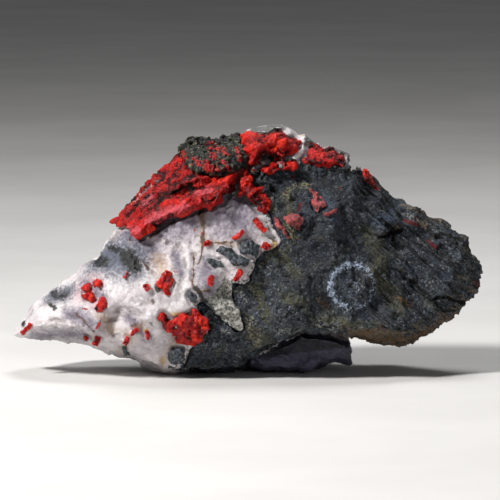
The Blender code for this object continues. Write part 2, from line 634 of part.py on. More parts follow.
def heel():
    """The blunt heel under the stone's back, which is cut flat at the floor."""
    middle_u = sum(u for u, _ in HEEL) / len(HEEL)
    middle_p = sum(p for _, p in HEEL) / len(HEEL)
    corners = []
    for k, (u, p) in enumerate(HEEL):
        low = place(u, 0, p)
        low.z = -1.0 * MM
        high = place(middle_u + (u - middle_u) * HEEL_SHRINK, 0, middle_p + (p - middle_p) * HEEL_SHRINK)
        high.z = (HEEL_TOP - 1.5 * (k % 2)) * MM
        corners += [low, high]
    return hidden(hull("heel", corners))


def floor_block():
    """Everything under the floor, which is cut away."""
    corners = [
        Vector((x, y, z)) * MM for x in (-60, 60) for y in (-40, 40) for z in (-20, 0)
    ]
    return hidden(hull("floor_block", corners))


def calcite_piece(pockets, material):
    """The white calcite: the stone's left end, its back and its foot."""
    front = sunk_by(calcite_top, pockets)
    outline = ragged(CALCITE, STONE_STEP, STONE_RAGGED)
    loops = [grown(outline, -EDGE_LOOP), *all_loops(pockets)]
    calcite = lens("calcite", outline, front, stone_back, stone_back, STONE_STEP, STONE_BACK_STEP,
                   front_loops=loops, material=material)
    boolean(calcite, heel(), "UNION")
    boolean(calcite, floor_block(), "DIFFERENCE")
    return calcite


def host_piece(pockets, behind, material):
    """The dark limestone: the stone's right end and the middle of its front."""
    front = sunk_by(host_top, pockets)

    def back(points):
        return np.where(within(points, behind.mouth), host_inner(points), stone_back(points))

    loops = [grown(HOST_RIM, -EDGE_LOOP), *all_loops(pockets)]
    return lens("limestone", HOST_RIM, front, back, back, STONE_STEP, HOST_BACK_STEP, loops,
                behind.loops, material)


class Inlay:
    """A piece grown on the stone's front, sunk a little into a pocket that it fits."""

    def __init__(self, name, outline, material, step, thickness, sunk=1.1, round_over=1.2,
                 folds=(), rough_size=2.0, roughness=0.3, chips=None):
        self.name = name
        self.outline = ragged(outline, step, 0.12)
        self.material = material
        self.step = step
        self.thickness = thickness
        self.sunk = sunk
        self.round_over = round_over
        self.folds = folds
        self.rough_size = rough_size
        self.roughness = roughness
        self.chips = chips
        self.rim_depth = 0.5 * sunk

    def front(self, points):
        share = rounded(to_lines(points, self.outline), self.round_over)
        height = self.thickness + folded(points, self.folds)
        height += self.roughness * rough(points, self.rough_size, 21.0)
        if self.chips:
            height += chipped(points, self.chips)
        height = np.maximum(height, 0.25)
        return face(points) - self.rim_depth + share * (self.rim_depth + height)

    def back(self, points):
        share = rounded(to_lines(points, self.outline), self.round_over)
        return face(points) - self.rim_depth - share * (self.sunk - self.rim_depth)

    def rim(self, points):
        return face(points) - self.rim_depth

    def solid(self):
        return lens(self.name, self.outline, self.front, self.back, self.rim, self.step,
                    1.4 * self.step, material=self.material)

    def floor(self, points):
        return face(points) - self.sunk - UNDER_GAP

    def pocket(self):
        return Pocket(self.outline, self.floor)

    def cutter(self):
        return cutter(f"{self.name}_pocket", grown(self.outline, GAP), self.floor, 1.4 * self.step)


def crystal_depth(u, v, width):
    return face(np.array([(u, v)]))[0] + CRYSTAL_STAND * width


def crystal_pocket(u, v, length, width, angle):
    """The socket of a crystal: its outline on the stone, and a level floor under it."""
    turn = math.radians(angle)
    outline = []
    for a, b in ((-1, -1), (1, -1), (1, 1), (-1, 1)):
        x, y = a * length / 2, b * width / 2
        outline.append((u + x * math.cos(turn) - y * math.sin(turn),
                        v + x * math.sin(turn) + y * math.cos(turn)))
    level = crystal_depth(u, v, width) - width / 2 - CRYSTAL_PITCH * length / 2 - UNDER_GAP / 2
    return Pocket(outline, lambda points: np.full(len(points), level))


def crystal(name, u, v, length, width, angle, material):
    """A short six-sided prism with chisel ends, lying half sunk in the stone's front."""
    turn = math.radians(angle)
    along = np.array((math.cos(turn), math.sin(turn), CRYSTAL_PITCH))
    across = np.array((-math.sin(turn), math.cos(turn), 0.0))
    outward = np.array((0.0, 0.0, 1.0))
    centre = np.array((u, v, crystal_depth(u, v, width)))
    half, half_width = length / 2, width / 2
    shoulder = half - CRYSTAL_CHISEL * width
    corners = []
    for end in (-1, 1):
        for k in range(6):
            side = math.radians(60 * k + 15)
            corner = across * math.cos(side) * half_width + outward * math.sin(side) * half_width
            reach = shoulder + 0.15 * width * math.sin(side + end)
            corners.append(place(*(centre + along * end * reach + corner)))
        for side in (-0.5, 0.5):
            tip = centre + along * end * half + across * side * half_width
            corners.append(place(*tip))
    return hull(name, corners, material)


def inlays(red, pink, dark, shale):
    """Every piece on the stone's front, listed so that a later one gives way to an earlier."""
    pieces = [
        Inlay("realgar_crust_left", CRUST_LEFT, red, 1.15, 1.5, round_over=0.8, folds=LEFT_FOLDS,
              roughness=0.35),
        Inlay("realgar_crust_top", CRUST_TOP, red, 0.95, 1.2, folds=TOP_FOLDS, roughness=0.35),
        Inlay("realgar_crust_middle", CRUST_MIDDLE, red, 0.85, 1.2, roughness=0.5, rough_size=1.6),
        Inlay("realgar_crust_right", CRUST_RIGHT, red, 0.95, 1.1, roughness=0.4),
        Inlay("realgar_crust_lower", CRUST_LOWER, red, 0.8, 0.9, round_over=0.8, roughness=0.4),
        Inlay("realgar_crust_edge", CRUST_EDGE, red, 0.9, 0.6, round_over=0.8),
        Inlay("dark_sulphide_crust", SULPHIDE, dark, 1.0, 1.6, roughness=0.6, rough_size=1.5),
        Inlay("realgar_cluster_large", CLUSTER_LARGE, red, 0.85, 1.5, chips=CLUSTER_CHIPS, roughness=0.2),
        Inlay("realgar_cluster_small", CLUSTER_SMALL, red, 0.7, 1.2, round_over=0.8, chips=CLUSTER_CHIPS),
        Inlay("realgar_streak", STREAK, red, 0.7, 0.4, round_over=0.5, roughness=0.2),
    ]
    pieces += [
        Inlay(f"realgar_patch_{k}", outline, pink, 0.9, 0.3, round_over=0.6, roughness=0.1)
        for k, outline in enumerate(PATCHES, 1)
    ]
    pieces += [
        Inlay(f"realgar_grain_{k}", outline, red, 0.6, 0.8, round_over=0.7, chips=CLUSTER_CHIPS)
        for k, outline in enumerate(GRAINS, 1)
    ]
    pieces += [
        Inlay(f"shale_chip_{k}", outline, shale, 0.95, 0.9, round_over=0.9, chips=SHALE_CHIPPING)
        for k, outline in enumerate(SHALE_CHIPS, 1)
    ]
    return pieces


def near(first, second, margin=0.8):
    """Whether two outlines' boxes come close."""
    a, b = np.array(first), np.array(second)
    return bool(
        (a.min(axis=0) - margin < b.max(axis=0)).all() and (b.min(axis=0) - margin < a.max(axis=0)).all()
    )


def main():
    for old in list(bpy.data.objects):
        bpy.data.objects.remove(old)
    calcite_finish = finish("calcite", (0.72, 0.70, 0.73), 0.45)
    host_finish = finish("limestone", (0.10, 0.11, 0.12), 0.85)
    red = finish("realgar", (0.55, 0.03, 0.02), 0.4)
    pink = finish("realgar_cleaved", (0.50, 0.14, 0.15), 0.45)
    dark = finish("dark_sulphide", (0.06, 0.07, 0.05), 0.8)
    shale = finish("shale", (0.07, 0.08, 0.09), 0.85)

    pieces = inlays(red, pink, dark, shale)
    placed = []
    for piece in pieces:
        solid = piece.solid()
        for earlier, tool in placed:
            if near(earlier.outline, piece.outline):
                boolean(solid, tool, "DIFFERENCE")
        placed.append((piece, piece.cutter()))
    for k, sizes in enumerate(CRYSTALS, 1):
        crystal(f"realgar_crystal_{k:02d}", *sizes, red)

    pockets = [piece.pocket() for piece in pieces] + [crystal_pocket(*sizes) for sizes in CRYSTALS]
    host = Pocket(HOST_RIM, lambda points: host_inner(points) - HOST_UNDER_GAP)
    behind = Pocket(ragged(CALCITE, STONE_STEP, STONE_RAGGED), None)
    on_host = [p for p in pockets if within(np.array(p.loops[1]), HOST_RIM).any()]
    on_calcite = [p for p in pockets if not within(np.array(p.loops[1]), HOST_RIM).all()]
    calcite_piece(on_calcite + [host], calcite_finish)
    host_piece(on_host, behind, host_finish)


STONE_RIM = ragged(STONE, STONE_STEP, STONE_RAGGED)
HOST_RIM = ragged(HOST, STONE_STEP, STONE_RAGGED)
main()
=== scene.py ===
"""Dresses the realgar specimen: broken stone, realgar crusts and crystals, and a plain studio."""

import itertools
import math

import bmesh
import bpy
import numpy as np
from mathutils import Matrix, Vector, noise
from mathutils.bvhtree import BVHTree


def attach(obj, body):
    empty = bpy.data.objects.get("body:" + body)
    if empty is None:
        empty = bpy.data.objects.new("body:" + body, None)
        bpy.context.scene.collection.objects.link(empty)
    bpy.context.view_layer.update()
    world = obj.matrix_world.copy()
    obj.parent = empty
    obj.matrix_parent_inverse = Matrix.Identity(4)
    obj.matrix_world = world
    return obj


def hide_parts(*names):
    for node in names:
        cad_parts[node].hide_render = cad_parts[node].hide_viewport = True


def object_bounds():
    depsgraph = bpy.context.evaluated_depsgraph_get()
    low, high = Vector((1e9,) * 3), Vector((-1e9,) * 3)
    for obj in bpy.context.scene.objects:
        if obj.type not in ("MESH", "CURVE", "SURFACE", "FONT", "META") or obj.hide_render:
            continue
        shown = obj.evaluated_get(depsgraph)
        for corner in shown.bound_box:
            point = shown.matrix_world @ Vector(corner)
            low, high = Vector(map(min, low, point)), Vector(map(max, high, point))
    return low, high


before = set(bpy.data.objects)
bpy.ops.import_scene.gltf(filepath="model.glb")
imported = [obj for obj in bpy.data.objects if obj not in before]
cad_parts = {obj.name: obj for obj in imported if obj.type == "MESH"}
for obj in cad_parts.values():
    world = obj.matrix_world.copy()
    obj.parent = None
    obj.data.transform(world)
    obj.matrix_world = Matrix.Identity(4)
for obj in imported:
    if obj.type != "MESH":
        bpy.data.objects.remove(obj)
CAD_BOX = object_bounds()

bl_info = {
    "name": "Realgar specimen",
    "version": (1, 0, 0),
    "blender": (4, 5, 0),
    "location": "3D View > Sidebar > Specimen",
    "description": "Builds the surface detail and finishes of a realgar specimen",
    "category": "Object",
}

# The stone is read as a front elevation in millimetres: u right, v up, p towards the viewer.
MM = 0.001

# How the elevation stands in the world: leaning back, sunk to the floor, and shifted.
LEAN = math.radians(6.0)
FLOOR_DROP = 0.83
DEPTH_SHIFT = -0.96
SIDE_SHIFT = 0.13
VIEWWARD = Vector((0.0, -math.cos(LEAN), math.sin(LEAN)))

# The patterns: the noise's roughness, gap and octaves, how a seed shifts it, the cells round a
# point, how far the middle of a chip and of a knob strays from its cell, and a long way off.
OCTAVES = (0.9, 2.1, 4)
SEED_SHIFT = np.array((3.7, -1.3, 2.1))
NEIGHBOURS = list(itertools.product((-1, 0, 1), repeat=3))
CHIP_SCATTER = 0.45
KNOB_SCATTER = 0.42
FAR = 1e9

# Where the limestone meets the calcite on the front, and the edge of the hollow under it.
HOST_EDGE = [
    (-0.8, 1.4), (-6.0, 1.2), (-11.0, 1.0), (-12.2, 2.2), (-12.0, 4.0), (-11.2, 6.2),
    (-10.0, 8.0), (-9.4, 10.0), (-9.6, 12.4), (-10.0, 14.8), (-8.6, 14.0), (-7.2, 12.2),
    (-4.8, 10.0), (-2.8, 8.6), (-1.0, 8.4), (-0.4, 10.6), (-1.4, 13.2), (-2.6, 16.2),
    (-3.0, 18.6), (-0.8, 17.8), (0.6, 19.2), (1.0, 21.4), (1.8, 23.6), (3.4, 25.0),
    (5.2, 25.4), (6.6, 26.4), (7.2, 27.8), (6.4, 29.4), (5.2, 31.2), (4.2, 32.8), (4.4, 34.2),
    (4.2, 36.0), (3.0, 37.2), (1.6, 38.2), (0.8, 39.6), (1.4, 41.2), (3.6, 41.6), (6.0, 42.0),
    (8.6, 42.4), (10.2, 42.4), (12.4, 41.8), (15.5, 41.7), (18.6, 41.5), (20.6, 42.4),
]
HOLLOW_EDGE = [
    (21.8, 7.4), (19.4, 7.2), (17.0, 8.2), (13.4, 8.6), (10.2, 8.6), (8.2, 7.6), (6.4, 7.0),
    (4.4, 5.8), (1.6, 4.6), (-0.8, 3.2),
]

# The calcite's face below the hollow is inside the hollow's edge and these three points.
UNDER_HOLLOW = [(-0.8, -3.0), (22.6, -3.0), (22.6, 7.4)]

# How far a finished surface stands over the solid's, which closes the gap beside it.
CLOSING = 0.22

# Plugs under the grown pieces: how far each is sunk and swollen.
PLUG_SINK = 0.8 * MM
PLUG_SWELL = 0.45 * MM

# Depths and heights that part the stone: the front, the foot, the crest and the crevices.
FRONT_DEPTH = -2.0
FOOT_DEPTH = -6.0
CREST_DEPTH = -7.0
CREST_LEVEL = 52.0
CREVICE_DEPTH = 4.0
CREVICE_FOOT = 32.0

# Rays that read a surface's level start this far out.
RAY_START = 60.0

# The ropes of stone that fill the seam between the limestone and the calcite.
FRONT_SEAM = [(-0.8, 3.2)] + HOST_EDGE[3:]
BACK_SEAM = [
    (19.8, 42.2), (19.2, 41.0), (17.0, 36.0), (15.5, 29.0), (16.0, 21.0), (18.0, 13.5),
    (20.2, 8.8), (20.6, 7.6),
]
SEAM_RADIUS = 1.6
SEAM_REACH = 2.3
SEAM_SUNK = 0.15
SEAM_STEP = 0.7

# The crusts' folds run up to the right at this angle, and the beds run down at it.
GRAIN_RUN = 38

# How much of a distance in depth counts where a stain lies on a surface that turns away.
DEPTH_COUNTED = 0.35

# A crack that runs down from the crest, and the longest vein.
CREST_CRACK = [(-9.7, 34.8), (-9.5, 32.0), (-9.3, 29.6), (-9.3, 27.0)]
LONG_VEIN = [(-11.2, 25.2), (-11.2, 22.0), (-11.4, 18.8), (-10.4, 17.4), (-8.2, 17.6)]

# Stains, pits and cracks on the calcite, each with the half width of its mark.
BROWN_CRACKS = [
    (CREST_CRACK, 0.42), ([(-9.9, 34.8), (-9.6, 32.4)], 0.8), ([(-9.6, 32.4), (-9.4, 30.6)], 0.6),
    ([(-19.3, 15.4), (-19.2, 15.2)], 0.5), ([(-8.3, 17.5), (-8.1, 17.4)], 0.35),
]
TAN_HALOS = [
    (CREST_CRACK, 0.9), ([(-9.3, 27.2), (-6.4, 27.0), (-1.0, 26.6), (2.0, 25.6)], 0.5),
    (LONG_VEIN, 0.4), ([(-0.4, 22.6), (2.0, 24.0), (2.4, 22.2)], 0.8),
]
TAN_PITS = [
    ([(-18.2, 23.6), (-17.6, 21.4)], 1.7), ([(-29.4, 12.4), (-27.4, 9.6)], 1.3),
    ([(-23.0, 10.4), (-21.6, 10.6)], 0.9), ([(-39.0, 17.6), (-37.0, 16.8)], 0.8),
    ([(-15.0, 8.6), (-16.4, 5.2), (-17.8, 2.6)], 1.0), ([(-24.0, 8.6), (-25.6, 5.4)], 1.2),
]
YELLOW_SPOTS = [
    ([(4.6, 26.4), (7.2, 26.8)], 1.1), ([(2.2, 24.2), (2.4, 22.4)], 0.6),
    ([(-15.0, 12.8), (-14.0, 12.6)], 0.7), ([(-20.8, 9.9), (-20.3, 9.9)], 0.5),
    ([(-25.6, 30.0), (-25.4, 30.0)], 0.5), ([(-14.9, 8.0), (-17.9, 2.6)], 0.4),
    ([(9.8, 49.2), (10.6, 49.0)], 0.6), ([(-36.6, 16.8), (-36.2, 16.8)], 0.4),
]
OLIVE_ZONES = [
    ([(-2.8, 22.4), (-2.2, 16.4), (-3.6, 10.4)], 1.7),
    ([(3.0, 33.0), (3.4, 29.0), (5.2, 26.6)], 1.5), ([(-14.2, 19.4), (-13.6, 17.6)], 1.4),
    ([(0.6, 31.8), (1.4, 30.6)], 1.0),
]
GREY_ZONES = [
    ([(-31.0, 24.0), (-29.6, 23.3)], 1.3), ([(-28.4, 26.2), (-26.8, 25.8)], 0.8),
    ([(-24.6, 24.4), (-23.0, 22.6)], 1.5), ([(-42.4, 19.4), (-41.8, 19.2)], 0.5),
    ([(-39.6, 17.2), (-37.6, 16.8)], 1.1), ([(-41.6, 15.6), (-39.0, 14.2)], 0.5),
    ([(-18.4, 18.2), (-18.2, 17.8)], 0.5), ([(-45.8, 11.0), (-44.8, 9.6)], 0.5),
    ([(-10.8, 18.0), (-9.0, 15.6), (-7.4, 13.4)], 0.5),
]
HAZE = [([(-30.0, 24.2), (-24.0, 23.6)], 3.2), ([(-40.0, 16.6), (-36.8, 17.4)], 1.6)]
# Painted shade in lilac grey on the calcite, most of it under the crusts.
LILAC_SHADE = [
    ([(-18.0, 30.0), (-8.0, 32.6), (-2.0, 31.4)], 4.6), ([(-9.0, 22.0), (-7.6, 17.0)], 2.8),
    ([(-43.0, 8.0), (-34.0, 8.4)], 2.2), ([(-5.0, 37.0), (-1.0, 34.0)], 2.4),
    ([(-25.0, 28.6), (-19.0, 25.6)], 2.6), ([(-36.0, 13.0), (-31.0, 11.0)], 1.6),
    ([(-14.8, 25.0), (-14.0, 21.0)], 1.2), ([(-33.0, 19.0), (-29.0, 16.4)], 1.4),
    ([(-24.0, 12.0), (-20.0, 8.0)], 1.2),
]
SPECKLED = [
    ([(0.6, 38.6), (2.0, 35.0), (3.4, 31.4)], 1.3), ([(5.0, 30.6), (6.6, 27.8)], 1.3),
    ([(-1.6, 22.6), (-1.4, 19.0)], 1.0), ([(-10.4, 14.6), (-8.4, 13.6), (-5.4, 10.8)], 0.8),
    ([(-3.2, 14.0), (-1.4, 9.4)], 1.1), ([(-4.6, 19.6), (-6.6, 15.6)], 0.6),
    ([(-12.6, 2.4), (-13.0, 6.0)], 0.6),
]
# Hollows and ridges of the calcite: a middle or a line, its radius or half width, its height.
CALCITE_SHAPES = [
    (-17.6, 21.6, 2.2, -1.0), (-14.0, 18.5, 1.9, -0.7), (-38.3, 17.2, 2.3, -0.6),
    (-28.4, 10.3, 2.6, -0.9), (-19.3, 15.4, 0.8, -0.5), (-8.6, 30.6, 1.6, -0.5),
]
CALCITE_RIDGES = [
    ([(-21.4, 23.6), (-20.0, 21.2), (-18.6, 18.8), (-16.4, 16.6)], 0.8, 0.7),
    ([(-34.0, 20.4), (-29.0, 19.6), (-25.0, 18.0)], 1.0, 0.4),
    ([(-44.4, 11.6), (-39.0, 12.6), (-34.0, 11.0)], 0.9, 0.4),
    ([(-12.8, 27.6), (-11.8, 23.0), (-12.4, 19.8)], 0.8, 0.4),
    ([(-24.4, 15.4), (-21.0, 13.0), (-18.6, 12.0)], 0.7, 0.35),
]

# The limestone's cracks, its ring of fine crystals, its stains, its painted shade and its
# swellings.
HOST_CRACKS = [
    [(26.4, 31.8), (28.0, 30.4), (29.4, 29.4), (30.4, 29.8)],
    [(26.2, 28.2), (29.4, 29.4)],
    [(28.8, 28.4), (29.0, 27.0), (30.6, 25.8)],
    [(31.0, 20.2), (33.2, 18.6), (35.0, 17.0), (36.6, 15.8), (39.4, 16.2), (42.0, 15.0),
     (44.0, 14.8)],
    [(37.2, 15.2), (38.6, 13.4), (41.0, 13.4)],
    [(40.0, 23.6), (41.2, 22.2)],
    [(27.0, 36.6), (29.0, 34.2), (30.4, 31.8)],
    [(38.2, 29.0), (42.6, 27.6), (45.4, 25.4)],
]
CRACK_REACH = 1.2
CRACK_WAVER = (0.3, 1.4, 20)
DRUSE_CENTRE = (20.4, 18.4)
DRUSE_RADIUS = 4.3
HOST_BLUISH = [([(24.8, 31.0), (29.6, 33.0)], 3.2), ([(15.0, 35.6), (17.0, 31.0)], 2.0)]
HOST_OLIVE = [
    ([(23.4, 29.4), (26.0, 23.6)], 2.4), ([(6.8, 16.4), (10.4, 14.8)], 2.2),
    ([(1.0, 9.0), (3.0, 7.2)], 2.6), ([(3.4, 12.0), (1.2, 18.0)], 1.6),
    ([(24.0, 22.0), (30.0, 14.0)], 2.2), ([(5.0, 25.0), (9.0, 21.0)], 1.8),
    ([(8.0, 31.0), (7.6, 36.0)], 1.6), ([(14.0, 12.0), (22.0, 10.6)], 1.6),
]
HOST_CREAM = [
    ([(7.6, 30.6), (8.8, 27.6)], 1.2), ([(6.6, 36.8), (9.0, 38.2), (12.0, 38.6)], 0.8),
    ([(-0.6, 12.6), (0.4, 9.0), (1.4, 6.8)], 1.0), ([(3.6, 35.6), (5.0, 33.2)], 0.7),
    ([(0.0, 18.4), (1.6, 16.2)], 0.8), ([(2.0, 22.6), (3.4, 24.2)], 0.5),
]
HOST_FADE = [
    ([(-10.0, 14.6), (-8.2, 13.0), (-4.8, 9.6), (-1.8, 7.8)], 0.9),
    ([(0.2, 9.0), (0.4, 11.6), (-0.8, 15.4), (-1.6, 17.2)], 1.0),
    ([(0.4, 17.4), (2.2, 22.0)], 0.7),
]
HOST_RUST = [
    ([(22.0, 8.4), (26.4, 10.2)], 1.2), ([(22.0, 7.4), (33.0, 7.4)], 1.6),
    ([(14.0, 15.6), (15.4, 14.2)], 1.1), ([(29.0, 16.4), (32.0, 14.4)], 1.0),
    ([(38.4, 13.2), (39.6, 12.0)], 0.9), ([(33.0, 8.0), (42.0, 12.6)], 1.2),
    ([(-1.0, 3.8), (0.4, 3.4)], 0.6), ([(44.6, 19.6), (46.6, 17.6)], 0.6),
]
HOST_TAN = [
    ([(36.4, 32.4), (40.6, 31.6), (44.8, 28.4)], 1.1), ([(33.0, 31.4), (35.4, 30.6)], 0.7),
    ([(30.4, 34.8), (35.2, 33.2)], 0.6), ([(43.0, 26.4), (46.0, 23.6)], 0.6),
]
HOST_SHADE = [
    ([(8.0, 32.0), (13.0, 26.0), (11.0, 20.0)], 5.0), ([(18.0, 36.0), (21.0, 29.0)], 4.0),
    ([(7.0, 39.6), (14.0, 38.6), (18.0, 38.4)], 3.2),
]
HOST_SHAPES = [
    (4.6, 37.6, 2.0, -1.0), (24.6, 29.0, 3.0, -0.5), (32.0, 24.0, 3.2, 0.5),
    (28.0, 12.6, 3.0, 0.5), (12.0, 30.0, 3.0, -0.4), (10.0, 20.0, 3.4, 0.5),
]
# Painted shade: near black in the holes.
HOST_HOLE_SHADE = [
    ([(3.6, 38.2), (5.2, 37.2)], 1.0), ([(5.4, 34.6), (6.6, 33.6)], 0.6),
    ([(10.4, 36.0), (11.6, 34.4)], 0.5), ([(20.0, 18.6), (20.2, 18.5)], 0.4),
]
HOST_PALE = [
    ([(12.6, 11.0), (16.0, 9.8)], 1.5), ([(4.6, 9.4), (10.0, 9.6)], 0.8),
    ([(39.4, 24.6), (39.6, 24.4)], 0.5), ([(31.0, 33.0), (34.0, 32.0)], 0.8),
]
HOST_RED = [
    ([(27.6, 38.0), (27.7, 37.9)], 0.35), ([(36.4, 33.0), (36.5, 33.0)], 0.40),
    ([(40.8, 30.8), (41.0, 30.7)], 0.35), ([(41.4, 29.6), (41.5, 29.5)], 0.30),
    ([(33.2, 32.2), (33.3, 32.2)], 0.25), ([(7.0, 37.0), (7.1, 37.0)], 0.35),
    ([(8.4, 40.2), (8.5, 40.2)], 0.40), ([(31.0, 31.6), (33.8, 30.6)], 0.40),
    ([(35.8, 27.4), (37.4, 26.0)], 0.45), ([(45.6, 19.2), (46.8, 17.4)], 0.35),
    ([(9.6, 33.4), (10.2, 35.0)], 0.30), ([(18.0, 38.0), (18.2, 37.6)], 0.25),
]

# Red grains on the dark crust, and the realgar crusts' grooves, pink painted sheen and pale rim.
RED_ON_SULPHIDE = [
    ([(-8.2, 47.0), (-7.2, 44.2)], 0.9), ([(-6.8, 46.2), (-4.6, 44.8)], 0.8),
    ([(-11.0, 43.4), (-8.6, 42.0)], 1.0), ([(-8.8, 42.8), (-6.8, 41.4)], 1.0),
    ([(-5.8, 43.0), (-4.2, 41.8)], 0.8), ([(-13.6, 45.4), (-13.0, 44.0)], 0.5),
    ([(-2.6, 46.0), (-2.0, 43.4)], 0.6),
]

CRUST_GROOVES = [
    ([(-21.4, 33.6), (-18.0, 35.6), (-15.0, 36.8), (-12.0, 38.2)], 0.7, -1.3),
    ([(-15.4, 36.6), (-12.0, 38.0)], 1.2, -1.0), ([(-16.0, 38.4), (-13.0, 40.0)], 0.55, -0.9),
    ([(-23.6, 31.6), (-17.8, 34.0)], 0.5, -0.6), ([(-20.6, 30.4), (-14.0, 33.4)], 0.5, -0.6),
    ([(-24.8, 32.6), (-20.4, 36.6)], 0.5, -0.7), ([(-11.4, 37.6), (-6.0, 38.2)], 0.6, -0.7),
    ([(-19.0, 38.6), (-16.4, 41.2)], 0.5, -0.6), ([(-8.4, 35.0), (-4.6, 36.6)], 0.5, -0.5),
    ([(-26.0, 30.6), (-22.0, 30.0)], 0.4, -0.4),
    ([(-12.0, 33.8), (-7.0, 35.8)], 0.4, -0.5), ([(-13.0, 36.0), (-8.0, 37.4)], 0.3, -0.4),
]
# Painted sheen in pink on the smoother bands of the left crust.
CRUST_PINK_SHEEN = [
    ([(-24.4, 29.2), (-22.4, 29.6)], 1.0), ([(-18.6, 32.2), (-13.0, 34.2)], 1.2),
    ([(-10.6, 37.0), (-8.0, 37.6)], 0.8), ([(-21.6, 34.6), (-19.8, 36.4)], 0.7),
    ([(-20.4, 31.4), (-20.0, 31.5)], 0.8),
]
CRUST_RIM = [([(-23.6, 35.0), (-21.2, 37.4), (-18.6, 39.6)], 0.35)]
TOP_HOLLOWS = [
    ([(2.6, 44.4), (4.4, 44.2)], 1.3, -1.2), ([(0.6, 41.6), (2.0, 40.8)], 1.0, -0.9),
    ([(5.8, 45.6), (7.6, 45.0)], 0.6, -0.6),
]

# Red dust, pink blush, painted shade in hollows, grey skin and fine veins on the calcite.
RED_ON_CALCITE = [
    ([(-3.0, 41.6), (-2.8, 38.4)], 2.0), ([(5.4, 43.6), (7.4, 42.6)], 0.9),
    ([(0.4, 42.8), (2.6, 41.4)], 1.4),
    ([(-9.5, 28.9), (-9.5, 28.8)], 0.40), ([(-47.2, 7.9), (-47.1, 7.8)], 0.35),
    ([(-22.4, 17.2), (-22.3, 17.1)], 0.25), ([(-38.8, 17.6), (-38.7, 17.5)], 0.3),
    ([(-15.2, 21.4), (-14.6, 20.8)], 0.25), ([(-19.6, 2.9), (-18.8, 2.7)], 0.3),
    ([(-33.0, 13.9), (-32.4, 13.6)], 0.3), ([(-11.0, 30.0), (-10.9, 29.8)], 0.2),
]
BLUSH = [([(-34.0, 17.2), (-31.0, 19.4)], 2.0), ([(-31.6, 18.2), (-30.6, 14.6)], 1.3)]
CALCITE_HOLLOW_SHADE = [
    ([(2.8, 44.2), (5.0, 43.2)], 1.6), ([(0.4, 42.4), (1.8, 40.8)], 1.2),
    ([(-1.4, 39.6), (-1.2, 37.8)], 0.6), ([(-9.6, 34.9), (-9.6, 34.0)], 0.6),
]
CREST_GREY = [
    ([(1.2, 49.6), (5.8, 50.2)], 1.4), ([(12.4, 48.2), (16.0, 46.6), (20.4, 44.4)], 1.5),
    ([(-1.6, 49.0), (-1.2, 48.0)], 0.6),
]
HOST_TOP = [(8.6, 42.6), (12.4, 42.0), (15.5, 41.9), (18.6, 41.7), (21.0, 42.6), (24.0, 41.4)]
CALCITE_VEINS = [
    [(-9.3, 27.2), (-6.4, 27.0), (-3.4, 27.2)], [(-9.3, 27.2), (-9.5, 24.6), (-10.4, 22.6)],
    LONG_VEIN, [(-21.4, 23.6), (-20.0, 21.2)], [(-34.6, 13.0), (-31.0, 9.4)],
]

# The streaky tongue of calcite beside the hollow.
TONGUE = [
    (-9.8, 15.4), (-7.2, 12.2), (-2.8, 8.4), (-1.0, 8.4), (-0.4, 10.6), (-2.6, 16.2),
    (-3.0, 18.6), (-5.0, 20.6), (-6.6, 17.4),
]

# The nodes by kind, and those that stand in each stone.
CRUST_NODES = [
    "realgar_crust_left", "realgar_crust_top", "realgar_crust_middle", "realgar_crust_right",
    "realgar_crust_lower", "realgar_crust_edge",
]
CLUSTER_NODES = ["realgar_cluster_large", "realgar_cluster_small"] + [
    f"realgar_grain_{k}" for k in range(1, 5)
]
CRYSTAL_NODES = [f"realgar_crystal_{k:02d}" for k in range(1, 16)]
PATCH_NODES = [f"realgar_patch_{k}" for k in range(1, 4)] + ["realgar_streak"]
CHIP_NODES = [f"shale_chip_{k}" for k in range(1, 7)]
CALCITE_INLAYS = CLUSTER_NODES + CRYSTAL_NODES + CHIP_NODES
LIMESTONE_INLAYS = PATCH_NODES + ["realgar_cluster_large"]

# The stage: where the camera looks, how far off it is, and the lamps with their place, size,
# power and colour.
VIEW_CENTRE = (0.0, 25.6, 8.0)
CAMERA_AWAY = 1.0
LAMPS = [
    ("key", (-0.36, -0.26, 0.40), 0.10, 5.0, (1.0, 0.98, 0.96)),
    ("fill", (0.40, -0.50, 0.20), 0.40, 0.35, (1.0, 1.0, 1.0)),
    ("top", (0.05, 0.18, 0.50), 0.25, 1.4, (1.0, 1.0, 1.0)),
]

# Mesh spacing of the small pieces, and the share of the usual spacing on two kinds of piece.
CRYSTAL_SPACING = 0.07 * MM
PATCH_SPACING = 0.10 * MM
CHIP_SPACING = 0.15 * MM
HOST_FINER = 0.85
CLUSTER_FINER = 0.7

# How much pink painted sheen covers the red of the cleaved patches.
CLEAVED_PINK_SHEEN = 0.75


def to_elevation(points):
    """World points in metres as (u, v, p) in millimetres."""
    mm = np.asarray(points) / MM
    back, height = mm[:, 1] - DEPTH_SHIFT, mm[:, 2] + FLOOR_DROP
    v = height * math.cos(LEAN) + back * math.sin(LEAN)
    p = height * math.sin(LEAN) - back * math.cos(LEAN)
    return np.stack([mm[:, 0] - SIDE_SHIFT, v, p], axis=1)


def to_world(points):
    """Points of the elevation in millimetres, as world points in metres."""
    u, v, p = np.asarray(points, float).T
    back = v * math.sin(LEAN) - p * math.cos(LEAN) + DEPTH_SHIFT
    height = v * math.cos(LEAN) + p * math.sin(LEAN) - FLOOR_DROP
    return np.stack([u + SIDE_SHIFT, back, height], axis=1) * MM


def linear(red, green, blue):
    """A display colour, 0 to 255, as scene-linear with alpha."""
    def one(value):
        share = value / 255
        return share / 12.92 if share <= 0.04045 else ((share + 0.055) / 1.055) ** 2.4
    return (one(red), one(green), one(blue), 1.0)


